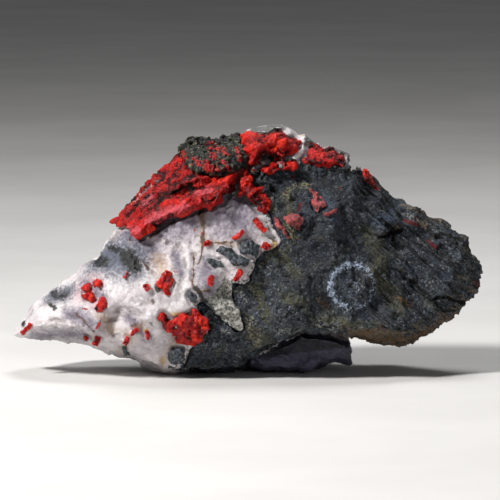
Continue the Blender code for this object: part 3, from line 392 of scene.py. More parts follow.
class SpecimenShape(bpy.types.PropertyGroup):
    stone_detail: bpy.props.FloatProperty(
        name="Stone detail", description="Mesh spacing on the calcite and the limestone",
        default=0.36 * MM, unit="LENGTH")
    crust_detail: bpy.props.FloatProperty(
        name="Crust detail", description="Mesh spacing on the crusts and clusters",
        default=0.14 * MM, unit="LENGTH")
    stone_relief: bpy.props.FloatProperty(
        name="Stone relief", description="How rough the stone's broken faces are", default=1.0)
    crust_relief: bpy.props.FloatProperty(
        name="Crust relief", description="How strongly the realgar crusts are ridged", default=1.0)


class SpecimenColours(bpy.types.PropertyGroup):
    calcite: bpy.props.FloatVectorProperty(
        name="Calcite", description="White calcite", subtype="COLOR", size=4,
        default=linear(214, 208, 210))
    limestone: bpy.props.FloatVectorProperty(
        name="Limestone", description="Dark limestone", subtype="COLOR", size=4,
        default=linear(60, 66, 72))
    realgar: bpy.props.FloatVectorProperty(
        name="Realgar", description="Red crusts and crystals", subtype="COLOR", size=4,
        default=linear(160, 8, 6))
    sulphide: bpy.props.FloatVectorProperty(
        name="Dark sulphide", description="Green-black granular crust", subtype="COLOR", size=4,
        default=linear(22, 23, 18))
    floor: bpy.props.FloatVectorProperty(
        name="Floor", description="Studio floor", subtype="COLOR", size=4,
        default=linear(214, 213, 211))


def held(values):
    """The values held between 0 and 1."""
    return np.clip(values, 0, 1)


def field(points, scale, seed, kind="fractal"):
    """A noise value at each point, which is in millimetres and divided by the scale first."""
    scaled = np.asarray(points) / scale + seed * SEED_SHIFT
    if kind == "ridged":
        return np.array([noise.ridged_multi_fractal(p, *OCTAVES, 1.0, 2.0) for p in scaled])
    return np.array([noise.fractal(p, *OCTAVES) for p in scaled])


def to_line(points, line):
    """Distance from each point to the nearest stretch of an open line, seen in the elevation;
    where the line has depths, a part of the distance in depth counts too."""
    ends = np.array(line, float)
    counted = np.array((1.0, 1.0, DEPTH_COUNTED))[:ends.shape[1]]
    ends, places = ends * counted, np.asarray(points)[:, :ends.shape[1]] * counted
    nearest = np.full(len(places), FAR)
    for a, b in zip(ends[:-1], ends[1:]):
        along = b - a
        share = held((places - a) @ along / max(along @ along, 1e-9))
        away = places - a - share[:, None] * along
        nearest = np.minimum(nearest, np.linalg.norm(away, axis=1))
    return nearest


def marks(points, lines, softness=0.5):
    """How strongly each point is marked, from 0 to 1, by lines with their own half widths."""
    strongest = np.zeros(len(points))
    for line, half_width in lines:
        edge = (half_width - to_line(points, line)) / (softness * half_width)
        strongest = np.maximum(strongest, held(0.5 + edge / 2))
    return strongest


def grooves(points, lines):
    """Height of ridges and grooves along lines with their own half widths and heights."""
    height = np.zeros(len(points))
    for line, half_width, rise in lines:
        height += rise * held(1 - to_line(points, line) / half_width)
    return height


def nearness(points, lines):
    """From 0 beyond CRACK_REACH to 1 on the nearest of some thin cracks."""
    nearest = np.min([to_line(points, line) for line in lines], axis=0)
    return held(1 - nearest / CRACK_REACH)


def bowls(points, shapes):
    """Height of round swellings and hollows, each with its middle, radius and height."""
    height = np.zeros(len(points))
    for u, v, radius, rise in shapes:
        share = np.hypot(points[:, 0] - u, points[:, 1] - v) / radius
        height += rise * held(1 - share**2) ** 2
    return height


def inside(points, outline):
    """Whether each point lies inside an outline of the elevation."""
    found = np.zeros(len(points), bool)
    u, v = np.asarray(points)[:, :2].T
    for (u0, v0), (u1, v1) in zip(outline, outline[1:] + outline[:1]):
        if v0 != v1:
            found ^= ((v0 > v) != (v1 > v)) & (u < (u1 - u0) * (v - v0) / (v1 - v0) + u0)
    return found


def wavered(points, amount, scale, seed):
    """The points moved about a little, so that marks laid over them get ragged edges."""
    moved = np.array(points)
    moved[:, 0] += amount * field(points, scale, seed)
    moved[:, 1] += amount * field(points, scale, seed + 5)
    return moved


def drawn_along(points, degrees, stretch, depth):
    """The points as a pattern that is drawn out at an angle sees them."""
    turn = math.radians(degrees)
    along = points[:, 0] * math.cos(turn) + points[:, 1] * math.sin(turn)
    across = points[:, 1] * math.cos(turn) - points[:, 0] * math.sin(turn)
    return np.stack([along * stretch, across, points[:, 2] * depth], axis=1)


def scattered(cells, seed, count):
    """Repeatable random values, -1 to 1, for cells of whole numbers, mixed with large primes."""
    steps = np.array((73856093, 19349663, 83492791))
    key = (cells.astype(np.int64) @ steps + seed * 7919).astype(np.uint64)
    values = []
    for k in range(count):
        mixed = key + np.uint64((k + 1) * 0x9E3779B97F4A7C15 % 2**64)
        mixed = (mixed ^ (mixed >> np.uint64(30))) * np.uint64(0xBF58476D1CE4E5B9)
        mixed = (mixed ^ (mixed >> np.uint64(27))) * np.uint64(0x94D049BB133111EB)
        values.append((mixed >> np.uint64(40)) / 2.0**23 - 1)
    return np.stack(values, axis=1)


def cell_by_cell(points, size, seed, count, scatter):
    """For each cell near the points: the way from its middle, and its random values."""
    scaled = np.asarray(points) / size
    whole = np.floor(scaled)
    for step in NEIGHBOURS:
        cells = whole + step
        chance = scattered(cells, seed, count)
        yield scaled - cells - 0.5 - scatter * chance[:, :3], chance


def chipped(points, size, seed, tilt):
    """Flat chips with sharp ridges: the lowest of many shallow bowls tilted at random."""
    lowest = np.ones(len(points))
    for away, chance in cell_by_cell(points, size, seed, 7, CHIP_SCATTER):
        bowl = 0.35 * (away**2).sum(axis=1) + tilt * (away * chance[:, 3:6]).sum(axis=1)
        lowest = np.minimum(lowest, bowl + 0.12 * chance[:, 6])
    return lowest * size


def facets(points, size, seed, tilt, step):
    """Flat crystal faces: each cell of a jumble has its own tilt and its own level."""
    nearest = np.full(len(points), FAR)
    height = np.zeros(len(points))
    for away, chance in cell_by_cell(points, size, seed, 7, CHIP_SCATTER):
        square = (away**2).sum(axis=1)
        face = tilt * (away * chance[:, 3:6]).sum(axis=1) + step * chance[:, 6]
        height = np.where(square < nearest, face, height)
        nearest = np.minimum(nearest, square)
    return height * size


def lumps(points, size, seed):
    """Rounded knobs that stand against each other, from 0 in the creases to 1 on the tops."""
    nearest = np.full(len(points), FAR)
    for away, _ in cell_by_cell(points, size, seed, 3, KNOB_SCATTER):
        nearest = np.minimum(nearest, (away**2).sum(axis=1))
    return held(1 - nearest * 1.4)


def select_only(piece, *others):
    """Selects these objects alone, with the first as the active one."""
    bpy.ops.object.select_all(action="DESELECT")
    for each in (*others, piece):
        each.select_set(True)
    bpy.context.view_layer.objects.active = piece


def copy_of_node(name, node):
    """A new piece with a CAD node's shape, its loose triangles merged."""
    piece = bpy.data.objects.new(name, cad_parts[node].data.copy())
    piece.data.materials.clear()
    bpy.context.scene.collection.objects.link(piece)
    select_only(piece)
    bpy.ops.object.mode_set(mode="EDIT")
    bpy.ops.mesh.select_all(action="SELECT")
    bpy.ops.mesh.remove_doubles(threshold=1e-6)
    bpy.ops.object.mode_set(mode="OBJECT")
    return piece


def vectors_of(rows, name):
    """One vector of each vertex or normal, as an array with three columns."""
    values = np.empty(len(rows) * 3)
    rows.foreach_get(name, values)
    return values.reshape(-1, 3)


def points_of(mesh):
    return vectors_of(mesh.vertices, "co")


def normals_of(mesh):
    return vectors_of(mesh.vertex_normals, "vector")


def move_points(mesh, points):
    mesh.vertices.foreach_set("co", np.ascontiguousarray(points, float).ravel())
    mesh.update()


def bring_forward(piece, amount):
    """Moves a whole piece towards the viewer, by millimetres."""
    move_points(piece.data, points_of(piece.data) + np.array(VIEWWARD) * amount * MM)


def fill_pockets(piece, nodes):
    """Joins plugs into a stone, so that the pockets round the pieces grown on it are closed."""
    plugs = []
    for node in nodes:
        plug = copy_of_node(f"plug_{node}", node)
        move = -np.array(VIEWWARD) * PLUG_SINK
        move_points(plug.data, points_of(plug.data) + normals_of(plug.data) * PLUG_SWELL + move)
        plugs.append(plug)
    join_into(piece, plugs)


def surface_of(nodes):
    """The solids of some nodes, ready to be met by rays."""
    solid = bmesh.new()
    for node in nodes:
        solid.from_mesh(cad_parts[node].data)
    tree = BVHTree.FromBMesh(solid)
    solid.free()
    return tree


def level_at(tree, u, v, side):
    """How far out a surface stands in millimetres, seen from the front (1) or the back (-1)."""
    start = Vector(to_world([(u, v, RAY_START * side)])[0])
    hit = tree.ray_cast(start, -VIEWWARD * side)[0]
    return to_elevation([hit])[0][2] * side if hit else None


def on_surface(tree, rows):
    """The marks with the depth of a surface at each of their points."""
    return [([(u, v, level_at(tree, u, v, 1) or 0.0) for u, v in line], half_width)
            for line, half_width in rows]


def crevice(points):
    """Whether each point lies where the crusts' crevices run into the calcite."""
    return (points[:, 2] > CREVICE_DEPTH) & (points[:, 1] > CREVICE_FOOT)


def seam_rope(tree, line, side):
    """A rope of stone along the seam of two stones, just under the third highest level of
    eight round each of its points."""
    path = []
    for (u0, v0), (u1, v1) in zip(line, line[1:]):
        parts = max(1, round(math.hypot(u1 - u0, v1 - v0) / SEAM_STEP))
        path += [(u0 + (u1 - u0) * k / parts, v0 + (v1 - v0) * k / parts) for k in range(parts)]
    turns = [math.radians(45 * k) for k in range(8)]
    places = []
    for u, v in path:
        levels = [level_at(tree, u + SEAM_REACH * math.cos(turn), v + SEAM_REACH * math.sin(turn),
                           side) for turn in turns]
        levels = sorted(level for level in levels if level is not None)
        if len(levels) > 2:
            out = levels[-3] - SEAM_SUNK - SEAM_RADIUS
            places.append(to_world([(u, v, out * side)])[0])
    curve = bpy.data.curves.new("seam", "CURVE")
    curve.dimensions = "3D"
    curve.bevel_depth = SEAM_RADIUS * MM
    curve.bevel_resolution = 3
    curve.use_fill_caps = True
    spline = curve.splines.new("POLY")
    spline.points.add(len(places) - 1)
    for point, place in zip(spline.points, places):
        point.co = (*place, 1.0)
    rope = bpy.data.objects.new("seam", curve)
    bpy.context.scene.collection.objects.link(rope)
    select_only(rope)
    bpy.ops.object.convert(target="MESH")
    return bpy.context.view_layer.objects.active


def join_into(piece, others):
    select_only(piece, *others)
    bpy.ops.object.join()


def quiet_near(points, nodes, reach):
    """From 0 beside the given nodes to 1 at a distance from them, in millimetres."""
    share = np.ones(len(points))
    for node in nodes:
        shape = to_elevation(points_of(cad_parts[node].data))[:, :2]
        middle, half = (shape.max(axis=0) + shape.min(axis=0)) / 2, np.ptp(shape, axis=0) / 2
        away = np.maximum(np.abs(points[:, :2] - middle) - half, 0)
        share = np.minimum(share, np.hypot(*away.T) / reach)
    return share


def standardised(values):
    """The values about their mean, in steps of their spread."""
    return (values - values.mean()) / max(values.std(), 1e-9)


def apply_modifier(piece, kind, **settings):
    modifier = piece.modifiers.new(kind.title(), kind)
    for key, value in settings.items():
        setattr(modifier, key, value)
    select_only(piece)
    bpy.ops.object.modifier_apply(modifier=modifier.name)


def bend(piece, amount, scale, seed):
    """Warps a plain shape a little, as crystals that grew against others are."""
    points = points_of(piece.data)
    laid = to_elevation(points)
    for axis in range(3):
        laid[:, axis] += amount * field(points / MM, scale, seed + axis * 11)
    move_points(piece.data, to_world(laid))


def refine(piece, spacing, smoothing):
    """A fine even mesh over the piece's outside, with the solid's small facets smoothed."""
    apply_modifier(piece, "REMESH", mode="VOXEL", voxel_size=spacing)
    apply_modifier(piece, "SMOOTH", factor=0.5, iterations=smoothing)


def facing_of(normals, slope, start):
    """How much each point faces the viewer's side, from 0 to 1."""
    return held(normals @ np.array(VIEWWARD) * slope + start)


def sculpt(piece, height):
    """Moves each point along its normal by what height gives in millimetres, which it returns."""
    mesh = piece.data
    points, normals = points_of(mesh), normals_of(mesh)
    rise = height(to_elevation(points), facing_of(normals, 1.6, 0.1))
    moved = points + normals * rise[:, None] * MM
    move_points(mesh, np.clip(moved, CAD_BOX[0], CAD_BOX[1]))
    return rise


def elevation_of(piece):
    """The piece's points in the elevation, and how much each faces the viewer's side."""
    return to_elevation(points_of(piece.data)), facing_of(normals_of(piece.data), 4, 0.6)


def paint(piece, name, values):
    """Stores a value for each point, for the material to read."""
    layer = piece.data.attributes.new(name, "FLOAT", "POINT")
    layer.data.foreach_set("value", np.ascontiguousarray(values, np.float32))


def finish_piece(piece, node, material):
    """Gives the piece its material and smooth shading, hangs it under the root, and hides the node
    of the model that it stands for.
    """
    piece.data.materials.clear()
    piece.data.materials.append(material)
    select_only(piece)
    bpy.ops.object.shade_smooth()
    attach(piece, "root")
    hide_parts(node)


class Graph:
    """Short ways to wire a material's or a group's nodes."""

    def __init__(self, tree):
        self.tree = tree

    def node(self, kind, **settings):
        made = self.tree.nodes.new(kind)
        for key, value in settings.items():
            setattr(made, key, value)
        return made

    def feed(self, socket, value):
        if isinstance(value, bpy.types.NodeSocket):
            self.tree.links.new(value, socket)
        else:
            socket.default_value = value

    def dial(self, node, **values):
        """Feeds a node's inputs by their names, with _ for a space, and hands it back."""
        for key, value in values.items():
            self.feed(node.inputs[key.replace("_", " ")], value)
        return node

    def result_of(self, kind, operation, values):
        """What one mathematical node of a kind makes of some values."""
        made = self.node(kind, operation=operation)
        for socket, value in zip(made.inputs, values):
            self.feed(socket, value)
        return made.outputs[0]

    def math(self, operation, *values):
        return self.result_of("ShaderNodeMath", operation, values)

    def vector(self, operation, *values):
        return self.result_of("ShaderNodeVectorMath", operation, values)

    def mix(self, share, first, second):
        """A colour between two others; the node's sockets for numbers come before those."""
        made = self.node("ShaderNodeMix", data_type="RGBA")
        for index, value in ((0, share), (6, first), (7, second)):
            self.feed(made.inputs[index], value)
        return made.outputs[2]

    def noise(self, where, scale, detail=4.0, roughness=0.55):
        made = self.node("ShaderNodeTexNoise")
        self.dial(made, Vector=where, Scale=scale, Detail=detail, Roughness=roughness)
        return made.outputs["Fac"]

    def cells(self, where, scale, feature="F1", output="Distance"):
        made = self.node("ShaderNodeTexVoronoi", feature=feature)
        return self.dial(made, Vector=where, Scale=scale).outputs[output]

    def ramp(self, value, low, high, to_low=0.0, to_high=1.0):
        made = self.node("ShaderNodeMapRange", interpolation_type="SMOOTHSTEP")
        for socket, given in zip(made.inputs, (value, low, high, to_low, to_high)):
            self.feed(socket, given)
        return made.outputs[0]

    def painted(self, name):
        return self.node("ShaderNodeAttribute", attribute_name=name).outputs["Fac"]

    def group(self, tree, **values):
        return self.dial(self.node("ShaderNodeGroup", node_tree=tree), **values)

    def drawn_out(self, where, degrees, sizes):
        """The place turned in the elevation, then stretched by the given sizes."""
        made = self.node("ShaderNodeMapping", vector_type="TEXTURE")
        turn = (0.0, 0.0, math.radians(degrees))
        return self.dial(made, Rotation=turn, Scale=sizes, Vector=where).outputs[0]

    def tints(self, base, rows):
        """Lays tones over a colour; each row has a value, its ramp and the tone."""
        for value, reach, tone in rows:
            base = self.mix(self.ramp(value, *reach), base, linear(*tone))
        return base

    def stains_and_shade(self, base, ragged, rows):
        """Lays painted stain colours, painted shade and painted sheen over a colour; each row has
        its name, tone, start, width, strength, and how far the ragged noise breaks its edge."""
        around = self.math("SUBTRACT", ragged, 0.5)
        for name, tone, low, width, most, broken in rows:
            mask = self.math("MULTIPLY_ADD", around, broken, self.painted(name))
            base = self.tints(base, [(mask, (low, low + width, 0.0, most), tone)])
        return base

    def bump(self, height, strength, distance):
        made = self.node("ShaderNodeBump")
        return self.dial(made, Strength=strength, Distance=distance, Height=height).outputs[0]

    def glints(self, normal, where, scale, amount):
        """Turns the normal by chance from grain to grain, so that some catch the light."""
        grains = self.cells(where, scale, output="Color")
        chance = self.vector("SUBTRACT", grains, (0.5, 0.5, 0.5))
        turned = self.vector("MULTIPLY_ADD", chance, (amount, amount, amount), normal)
        return self.vector("NORMALIZE", turned)


def new_group(name, inputs, outputs):
    """An empty shader node group with named sockets, and its graph and its two ends."""
    tree = bpy.data.node_groups.new(name, "ShaderNodeTree")
    for label, kind, default in inputs:
        socket = tree.interface.new_socket(name=label, in_out="INPUT", socket_type=kind)
        if default is not None:
            socket.default_value = default
    for label, kind in outputs:
        tree.interface.new_socket(name=label, in_out="OUTPUT", socket_type=kind)
    graph = Graph(tree)
    return tree, graph, graph.node("NodeGroupInput"), graph.node("NodeGroupOutput")


def millimetres_group():
    """Object coordinates turned into millimetres of the elevation."""
    tree, graph, _, end = new_group("Elevation in mm", [], [("Where", "NodeSocketVector")])
    place = graph.node("ShaderNodeTexCoord").outputs["Object"]
    turn = graph.dial(graph.node("ShaderNodeMapping"), Vector=place,
                      Rotation=(LEAN - math.pi / 2, 0.0, 0.0), Scale=(1 / MM, 1 / MM, 1 / MM))
    graph.dial(end, Where=turn.outputs[0])
    return tree


def grain_group():
    """Light and dark mineral grains, as a value from 0 to 1 and a height."""
    tree, graph, start, end = new_group(
        "Mineral grain",
        [("Where", "NodeSocketVector", None), ("Size", "NodeSocketFloat", 0.5)],
        [("Shade", "NodeSocketFloat"), ("Height", "NodeSocketFloat")])
    size = start.outputs["Size"]
    sizes = graph.dial(graph.node("ShaderNodeCombineXYZ"), X=size, Y=size, Z=size)
    scaled = graph.vector("DIVIDE", start.outputs["Where"], sizes.outputs[0])
    shade = graph.node("ShaderNodeSeparateColor")
    graph.feed(shade.inputs[0], graph.cells(scaled, 1.0, output="Color"))
    soft = graph.noise(scaled, 0.8, 5.0, 0.65)
    domes = graph.math("SUBTRACT", 1.0, graph.cells(scaled, 1.0))
    soft_part, dome_part = graph.math("MULTIPLY", soft, 0.4), graph.math("MULTIPLY", domes, 0.5)
    graph.dial(end, Shade=graph.math("MULTIPLY_ADD", shade.outputs[0], 0.6, soft_part),
               Height=graph.math("MULTIPLY_ADD", soft, 0.8, dome_part))
    return tree


def new_finish(name):
    """A material with its Principled shader, its graph and its place in millimetres."""
    material = bpy.data.materials.new(name)
    material.use_nodes = True
    graph = Graph(material.node_tree)
    shader = material.node_tree.nodes["Principled BSDF"]
    tree = bpy.data.node_groups.get("Elevation in mm") or millimetres_group()
    return material, graph, shader, graph.group(tree).outputs["Where"]


def grain(graph, where, size):
    """The shade and the height of mineral grains of a size in millimetres."""
    tree = bpy.data.node_groups.get("Mineral grain") or grain_group()
    made = graph.group(tree, Where=where, Size=size)
    return made.outputs["Shade"], made.outputs["Height"]


def calcite_finish(colour):
    """Milky white with cleavage veins, under the stain colours and painted shade on the piece."""
    material, graph, shader, where = new_finish("calcite")
    graph.dial(shader, Subsurface_Weight=0.4, Subsurface_Radius=(1.0, 0.85, 0.9),
               Subsurface_Scale=1.4 * MM, IOR=1.55)
    cloud = graph.noise(where, 0.20, 5.0, 0.6)
    mottle = graph.noise(where, 0.75, 6.0, 0.65)
    veins = graph.cells(where, 0.42, feature="DISTANCE_TO_EDGE")
    base = graph.tints(tuple(colour), (
        (cloud, (0.44, 0.70), (178, 170, 176)),
        (mottle, (0.52, 0.74, 0.0, 0.7), (164, 154, 148)),
        (mottle, (0.28, 0.44, 0.8, 0.0), (240, 237, 236)),
        (veins, (0.0, 0.025, 0.35, 0.0), (128, 118, 128)),
    ))
    flattened = graph.node("ShaderNodeMapping")
    graph.dial(flattened, Scale=(1.0, 1.0, 0.5), Vector=where)
    ragged = graph.noise(flattened.outputs[0], 1.7, 6.0, 0.72)
    # Of these rows, cavity, lilac and deep are painted shade; the others are stains and tones on
    # the calcite.
    base = graph.stains_and_shade(base, ragged, (
        ("cavity_shade", (136, 124, 120), 0.35, 0.5, 0.75, 0.8),
        ("blush", (184, 116, 122), 0.30, 0.6, 0.6, 1.0),
        ("lilac_shade", (92, 82, 104), 0.25, 0.7, 0.85, 1.0),
        ("haze", (72, 80, 96), 0.16, 0.5, 0.92, 1.0),
        ("tan", (160, 128, 92), 0.35, 0.5, 0.62, 1.0),
        ("olive", (112, 116, 98), 0.40, 0.5, 0.8, 1.6),
        ("grey", (10, 14, 14), 0.32, 0.3, 0.98, 1.3),
        ("yellow", (196, 160, 70), 0.45, 0.45, 0.7, 1.6),
        ("brown", (62, 36, 20), 0.32, 0.4, 0.92, 0.5),
        ("vein", (84, 52, 30), 0.80, 0.1, 0.9, 0.12),
        ("foot", (84, 82, 106), 0.40, 0.2, 0.96, 0.6),
        ("recess_shade", (20, 20, 26), 0.35, 0.5, 0.85, 1.2),
        ("crest", (74, 77, 72), 0.42, 0.25, 0.9, 1.3),
        ("speck", (44, 48, 50), 0.52, 0.1, 0.9, 2.4),
        ("dirt", (84, 74, 68), 0.55, 0.2, 0.6, 1.0),
        ("red", (150, 14, 12), 0.42, 0.15, 0.95, 0.8),
    ))
    fine = graph.noise(where, 2.4, 7.0, 0.68)
    cleave = graph.cells(where, 1.1)
    normal = graph.bump(graph.math("MULTIPLY_ADD", cleave, 0.5, fine), 0.9, 0.35 * MM)
    graph.dial(shader, Base_Color=base, Roughness=graph.ramp(ragged, 0.3, 0.7, 0.25, 0.5),
               Normal=graph.glints(normal, where, 1.8, 0.22))
    return material


def limestone_finish(colour):
    """Dark grains with light specks and thin beds, under the stain colours and painted shade on
    the piece.
    """
    material, graph, shader, where = new_finish("limestone")
    fine, fine_height = grain(graph, where, 0.32)
    coarse, coarse_height = grain(graph, where, 0.9)
    base = graph.tints(tuple(colour), (
        (graph.noise(where, 0.16, 4.0, 0.6), (0.35, 0.65), (44, 52, 66)),
        (graph.noise(where, 0.35, 5.0, 0.65), (0.5, 0.7, 0.0, 0.7), (82, 80, 66)),
        (coarse, (0.55, 0.85, 0.0, 0.45), (94, 102, 110)),
        (fine, (0.20, 0.50, 0.85, 0.0), (14, 16, 19)),
        (fine, (0.70, 0.84, 0.0, 0.6), (146, 154, 160)),
    ))
    ragged = graph.noise(where, 1.9, 6.0, 0.72)
    lines = graph.noise(graph.drawn_out(where, -GRAIN_RUN, (7.0, 0.55, 3.0)), 1.0, 4.0, 0.65)
    thin = graph.math("MULTIPLY", graph.ramp(lines, 0.41, 0.48, 0.9, 0.0), graph.painted("beds"))
    base = graph.mix(thin, base, linear(10, 11, 13))
    # Of these rows, shade, cavity and hole are painted shade; the others are stains and tones of
    # the limestone.
    base = graph.stains_and_shade(base, ragged, (
        ("shade", (22, 26, 32), 0.30, 0.6, 0.5, 0.8),
        ("tan", (126, 108, 82), 0.42, 0.4, 0.75, 1.6),
        ("bluish", (76, 92, 120), 0.40, 0.5, 0.6, 1.2),
        ("olive", (98, 94, 60), 0.40, 0.5, 0.7, 1.8),
        ("rust", (124, 82, 38), 0.48, 0.3, 0.8, 1.4),
        ("pale", (160, 160, 152), 0.55, 0.15, 0.85, 2.2),
        ("cream", (148, 144, 112), 0.50, 0.2, 0.75, 2.4),
        ("druse", (170, 184, 206), 0.62, 0.10, 0.9, 2.2),
        ("cavity_shade", (10, 11, 13), 0.45, 0.5, 0.9, 0.8),
        ("red", (88, 14, 18), 0.50, 0.3, 0.9, 2.0),
        ("hole_shade", (5, 5, 6), 0.35, 0.5, 0.95, 1.0),
        ("crack", (2, 2, 3), 0.66, 0.12, 1.0, 0.15),
    ))
    height = graph.math("MULTIPLY_ADD", coarse_height, 0.8, fine_height)
    height = graph.math("ADD", height, graph.noise(where, 3.5, 6.0, 0.7))
    normal = graph.bump(height, 1.0, 0.40 * MM)
    graph.dial(shader, Specular_IOR_Level=0.3, Base_Color=base,
               Roughness=graph.ramp(fine, 0.2, 0.9, 0.8, 0.4),
               Normal=graph.glints(normal, where, 2.6, 0.5))
    return material


def realgar_finish(name, colour, pink):
    """Resinous red: painted shade darkens its low places; painted highlight in orange and painted
    sheen in pink lie on its broken ridges.
    """
    material, graph, shader, where = new_finish(name)
    graph.dial(shader, IOR=1.5, Specular_IOR_Level=0.24, Subsurface_Weight=0.1,
               Subsurface_Radius=(1.0, 0.15, 0.08), Subsurface_Scale=0.4 * MM)
    fine = graph.noise(where, 2.6, 6.0, 0.7)
    ragged = graph.math("SUBTRACT", fine, 0.5)
    # Painted light: the relief attribute makes the low places dark maroon as painted shade and the
    # high ones orange as painted highlight; the pink facets are painted sheen.
    level = graph.math("MULTIPLY_ADD", ragged, 0.9, graph.painted("ridge"))
    base = graph.mix(graph.ramp(level, 0.20, 0.52), linear(40, 3, 4), tuple(colour))
    base = graph.tints(base, (
        (level, (0.54, 0.9, 0.0, 0.95), (216, 40, 16)),
        (graph.cells(where, 0.9), (0.5, 0.8, 0.0, 0.2), (182, 78, 82)),
    ))
    # Painted sheen: pink over the whole piece, as much as the finish asks for.
    base = graph.mix(pink, base, linear(146, 84, 84))
    # Of these rows, pink is painted sheen and dark is painted shade.
    base = graph.stains_and_shade(base, fine, (
        ("pink", (206, 90, 100), 0.40, 0.4, 0.7, 1.6),
        ("dark", (18, 5, 6), 0.20, 0.6, 0.95, 0.6),
        ("rim", (170, 160, 158), 0.50, 0.2, 0.8, 1.8),
    ))
    specks = graph.noise(where, 1.1, 6.0, 0.75)
    base = graph.tints(base, [(specks, (0.64, 0.72, 0.0, 0.7), (34, 10, 9))])
    lines = graph.noise(graph.drawn_out(where, GRAIN_RUN, (2.6, 0.45, 0.8)), 1.2, 5.0, 0.7)
    normal = graph.bump(graph.math("MULTIPLY_ADD", lines, 1.1, fine), 0.9, 0.30 * MM)
    graph.dial(shader, Base_Color=base, Roughness=graph.ramp(fine, 0.35, 0.7, 0.22, 0.45),
               Normal=graph.glints(normal, where, 2.2, 0.5))
    return material


def sulphide_finish(colour):
    """Green-black grains with paler tops, partly painted highlight, red grains and black gaps of
    painted shade.
    """
    material, graph, shader, where = new_finish("dark sulphide")
    shade, height = grain(graph, where, 0.45)
    tone, tone_height = grain(graph, where, 1.0)
    fine = graph.noise(where, 1.8, 6.0, 0.72)
    base = graph.mix(graph.ramp(shade, 0.3, 0.7), linear(24, 24, 20), tuple(colour))
    base = graph.tints(base, [(tone, (0.5, 0.8, 0.0, 0.6), (52, 52, 38))])
    # Of these rows, top is painted highlight over the grains' paler tone and hollow is painted
    # shade.
    base = graph.stains_and_shade(base, fine, (
        ("top", (142, 146, 114), 0.56, 0.35, 0.85, 1.2),
        ("red", (150, 10, 8), 0.56, 0.15, 0.97, 1.6),
        ("hollow", (2, 2, 2), 0.25, 0.3, 1.0, 0.6),
    ))
    normal = graph.bump(graph.math("MULTIPLY_ADD", tone_height, 0.6, height), 0.8, 0.25 * MM)
    graph.dial(shader, Specular_IOR_Level=0.3, Base_Color=base,
               Roughness=graph.ramp(fine, 0.3, 0.7, 0.35, 0.6),
               Normal=graph.glints(normal, where, 2.4, 0.4))
    return material


def shale_finish():
    """Dull dark grey grains, some of them light."""
    material, graph, shader, where = new_finish("shale")
    shade, height = grain(graph, where, 0.45)
    base = graph.tints(linear(26, 30, 35), (
        (shade, (0.25, 0.75), (78, 88, 96)),
        (graph.noise(where, 0.9, 5.0, 0.7), (0.55, 0.7, 0.0, 0.5), (64, 62, 50)),
        (shade, (0.76, 0.88, 0.0, 0.6), (140, 148, 152)),
    ))
    normal = graph.bump(height, 1.0, 0.35 * MM)
    graph.dial(shader, Base_Color=base, Roughness=graph.ramp(shade, 0.2, 0.8, 0.75, 0.45),
               Normal=graph.glints(normal, where, 2.6, 0.4))
    return material


def realgar_material(name, pink=0.0):
    """The realgar finish of that name, made the first time that a piece asks for it."""
    found = bpy.data.materials.get(name)
    return found or realgar_finish(name, bpy.context.scene.specimen_colours.realgar, pink)


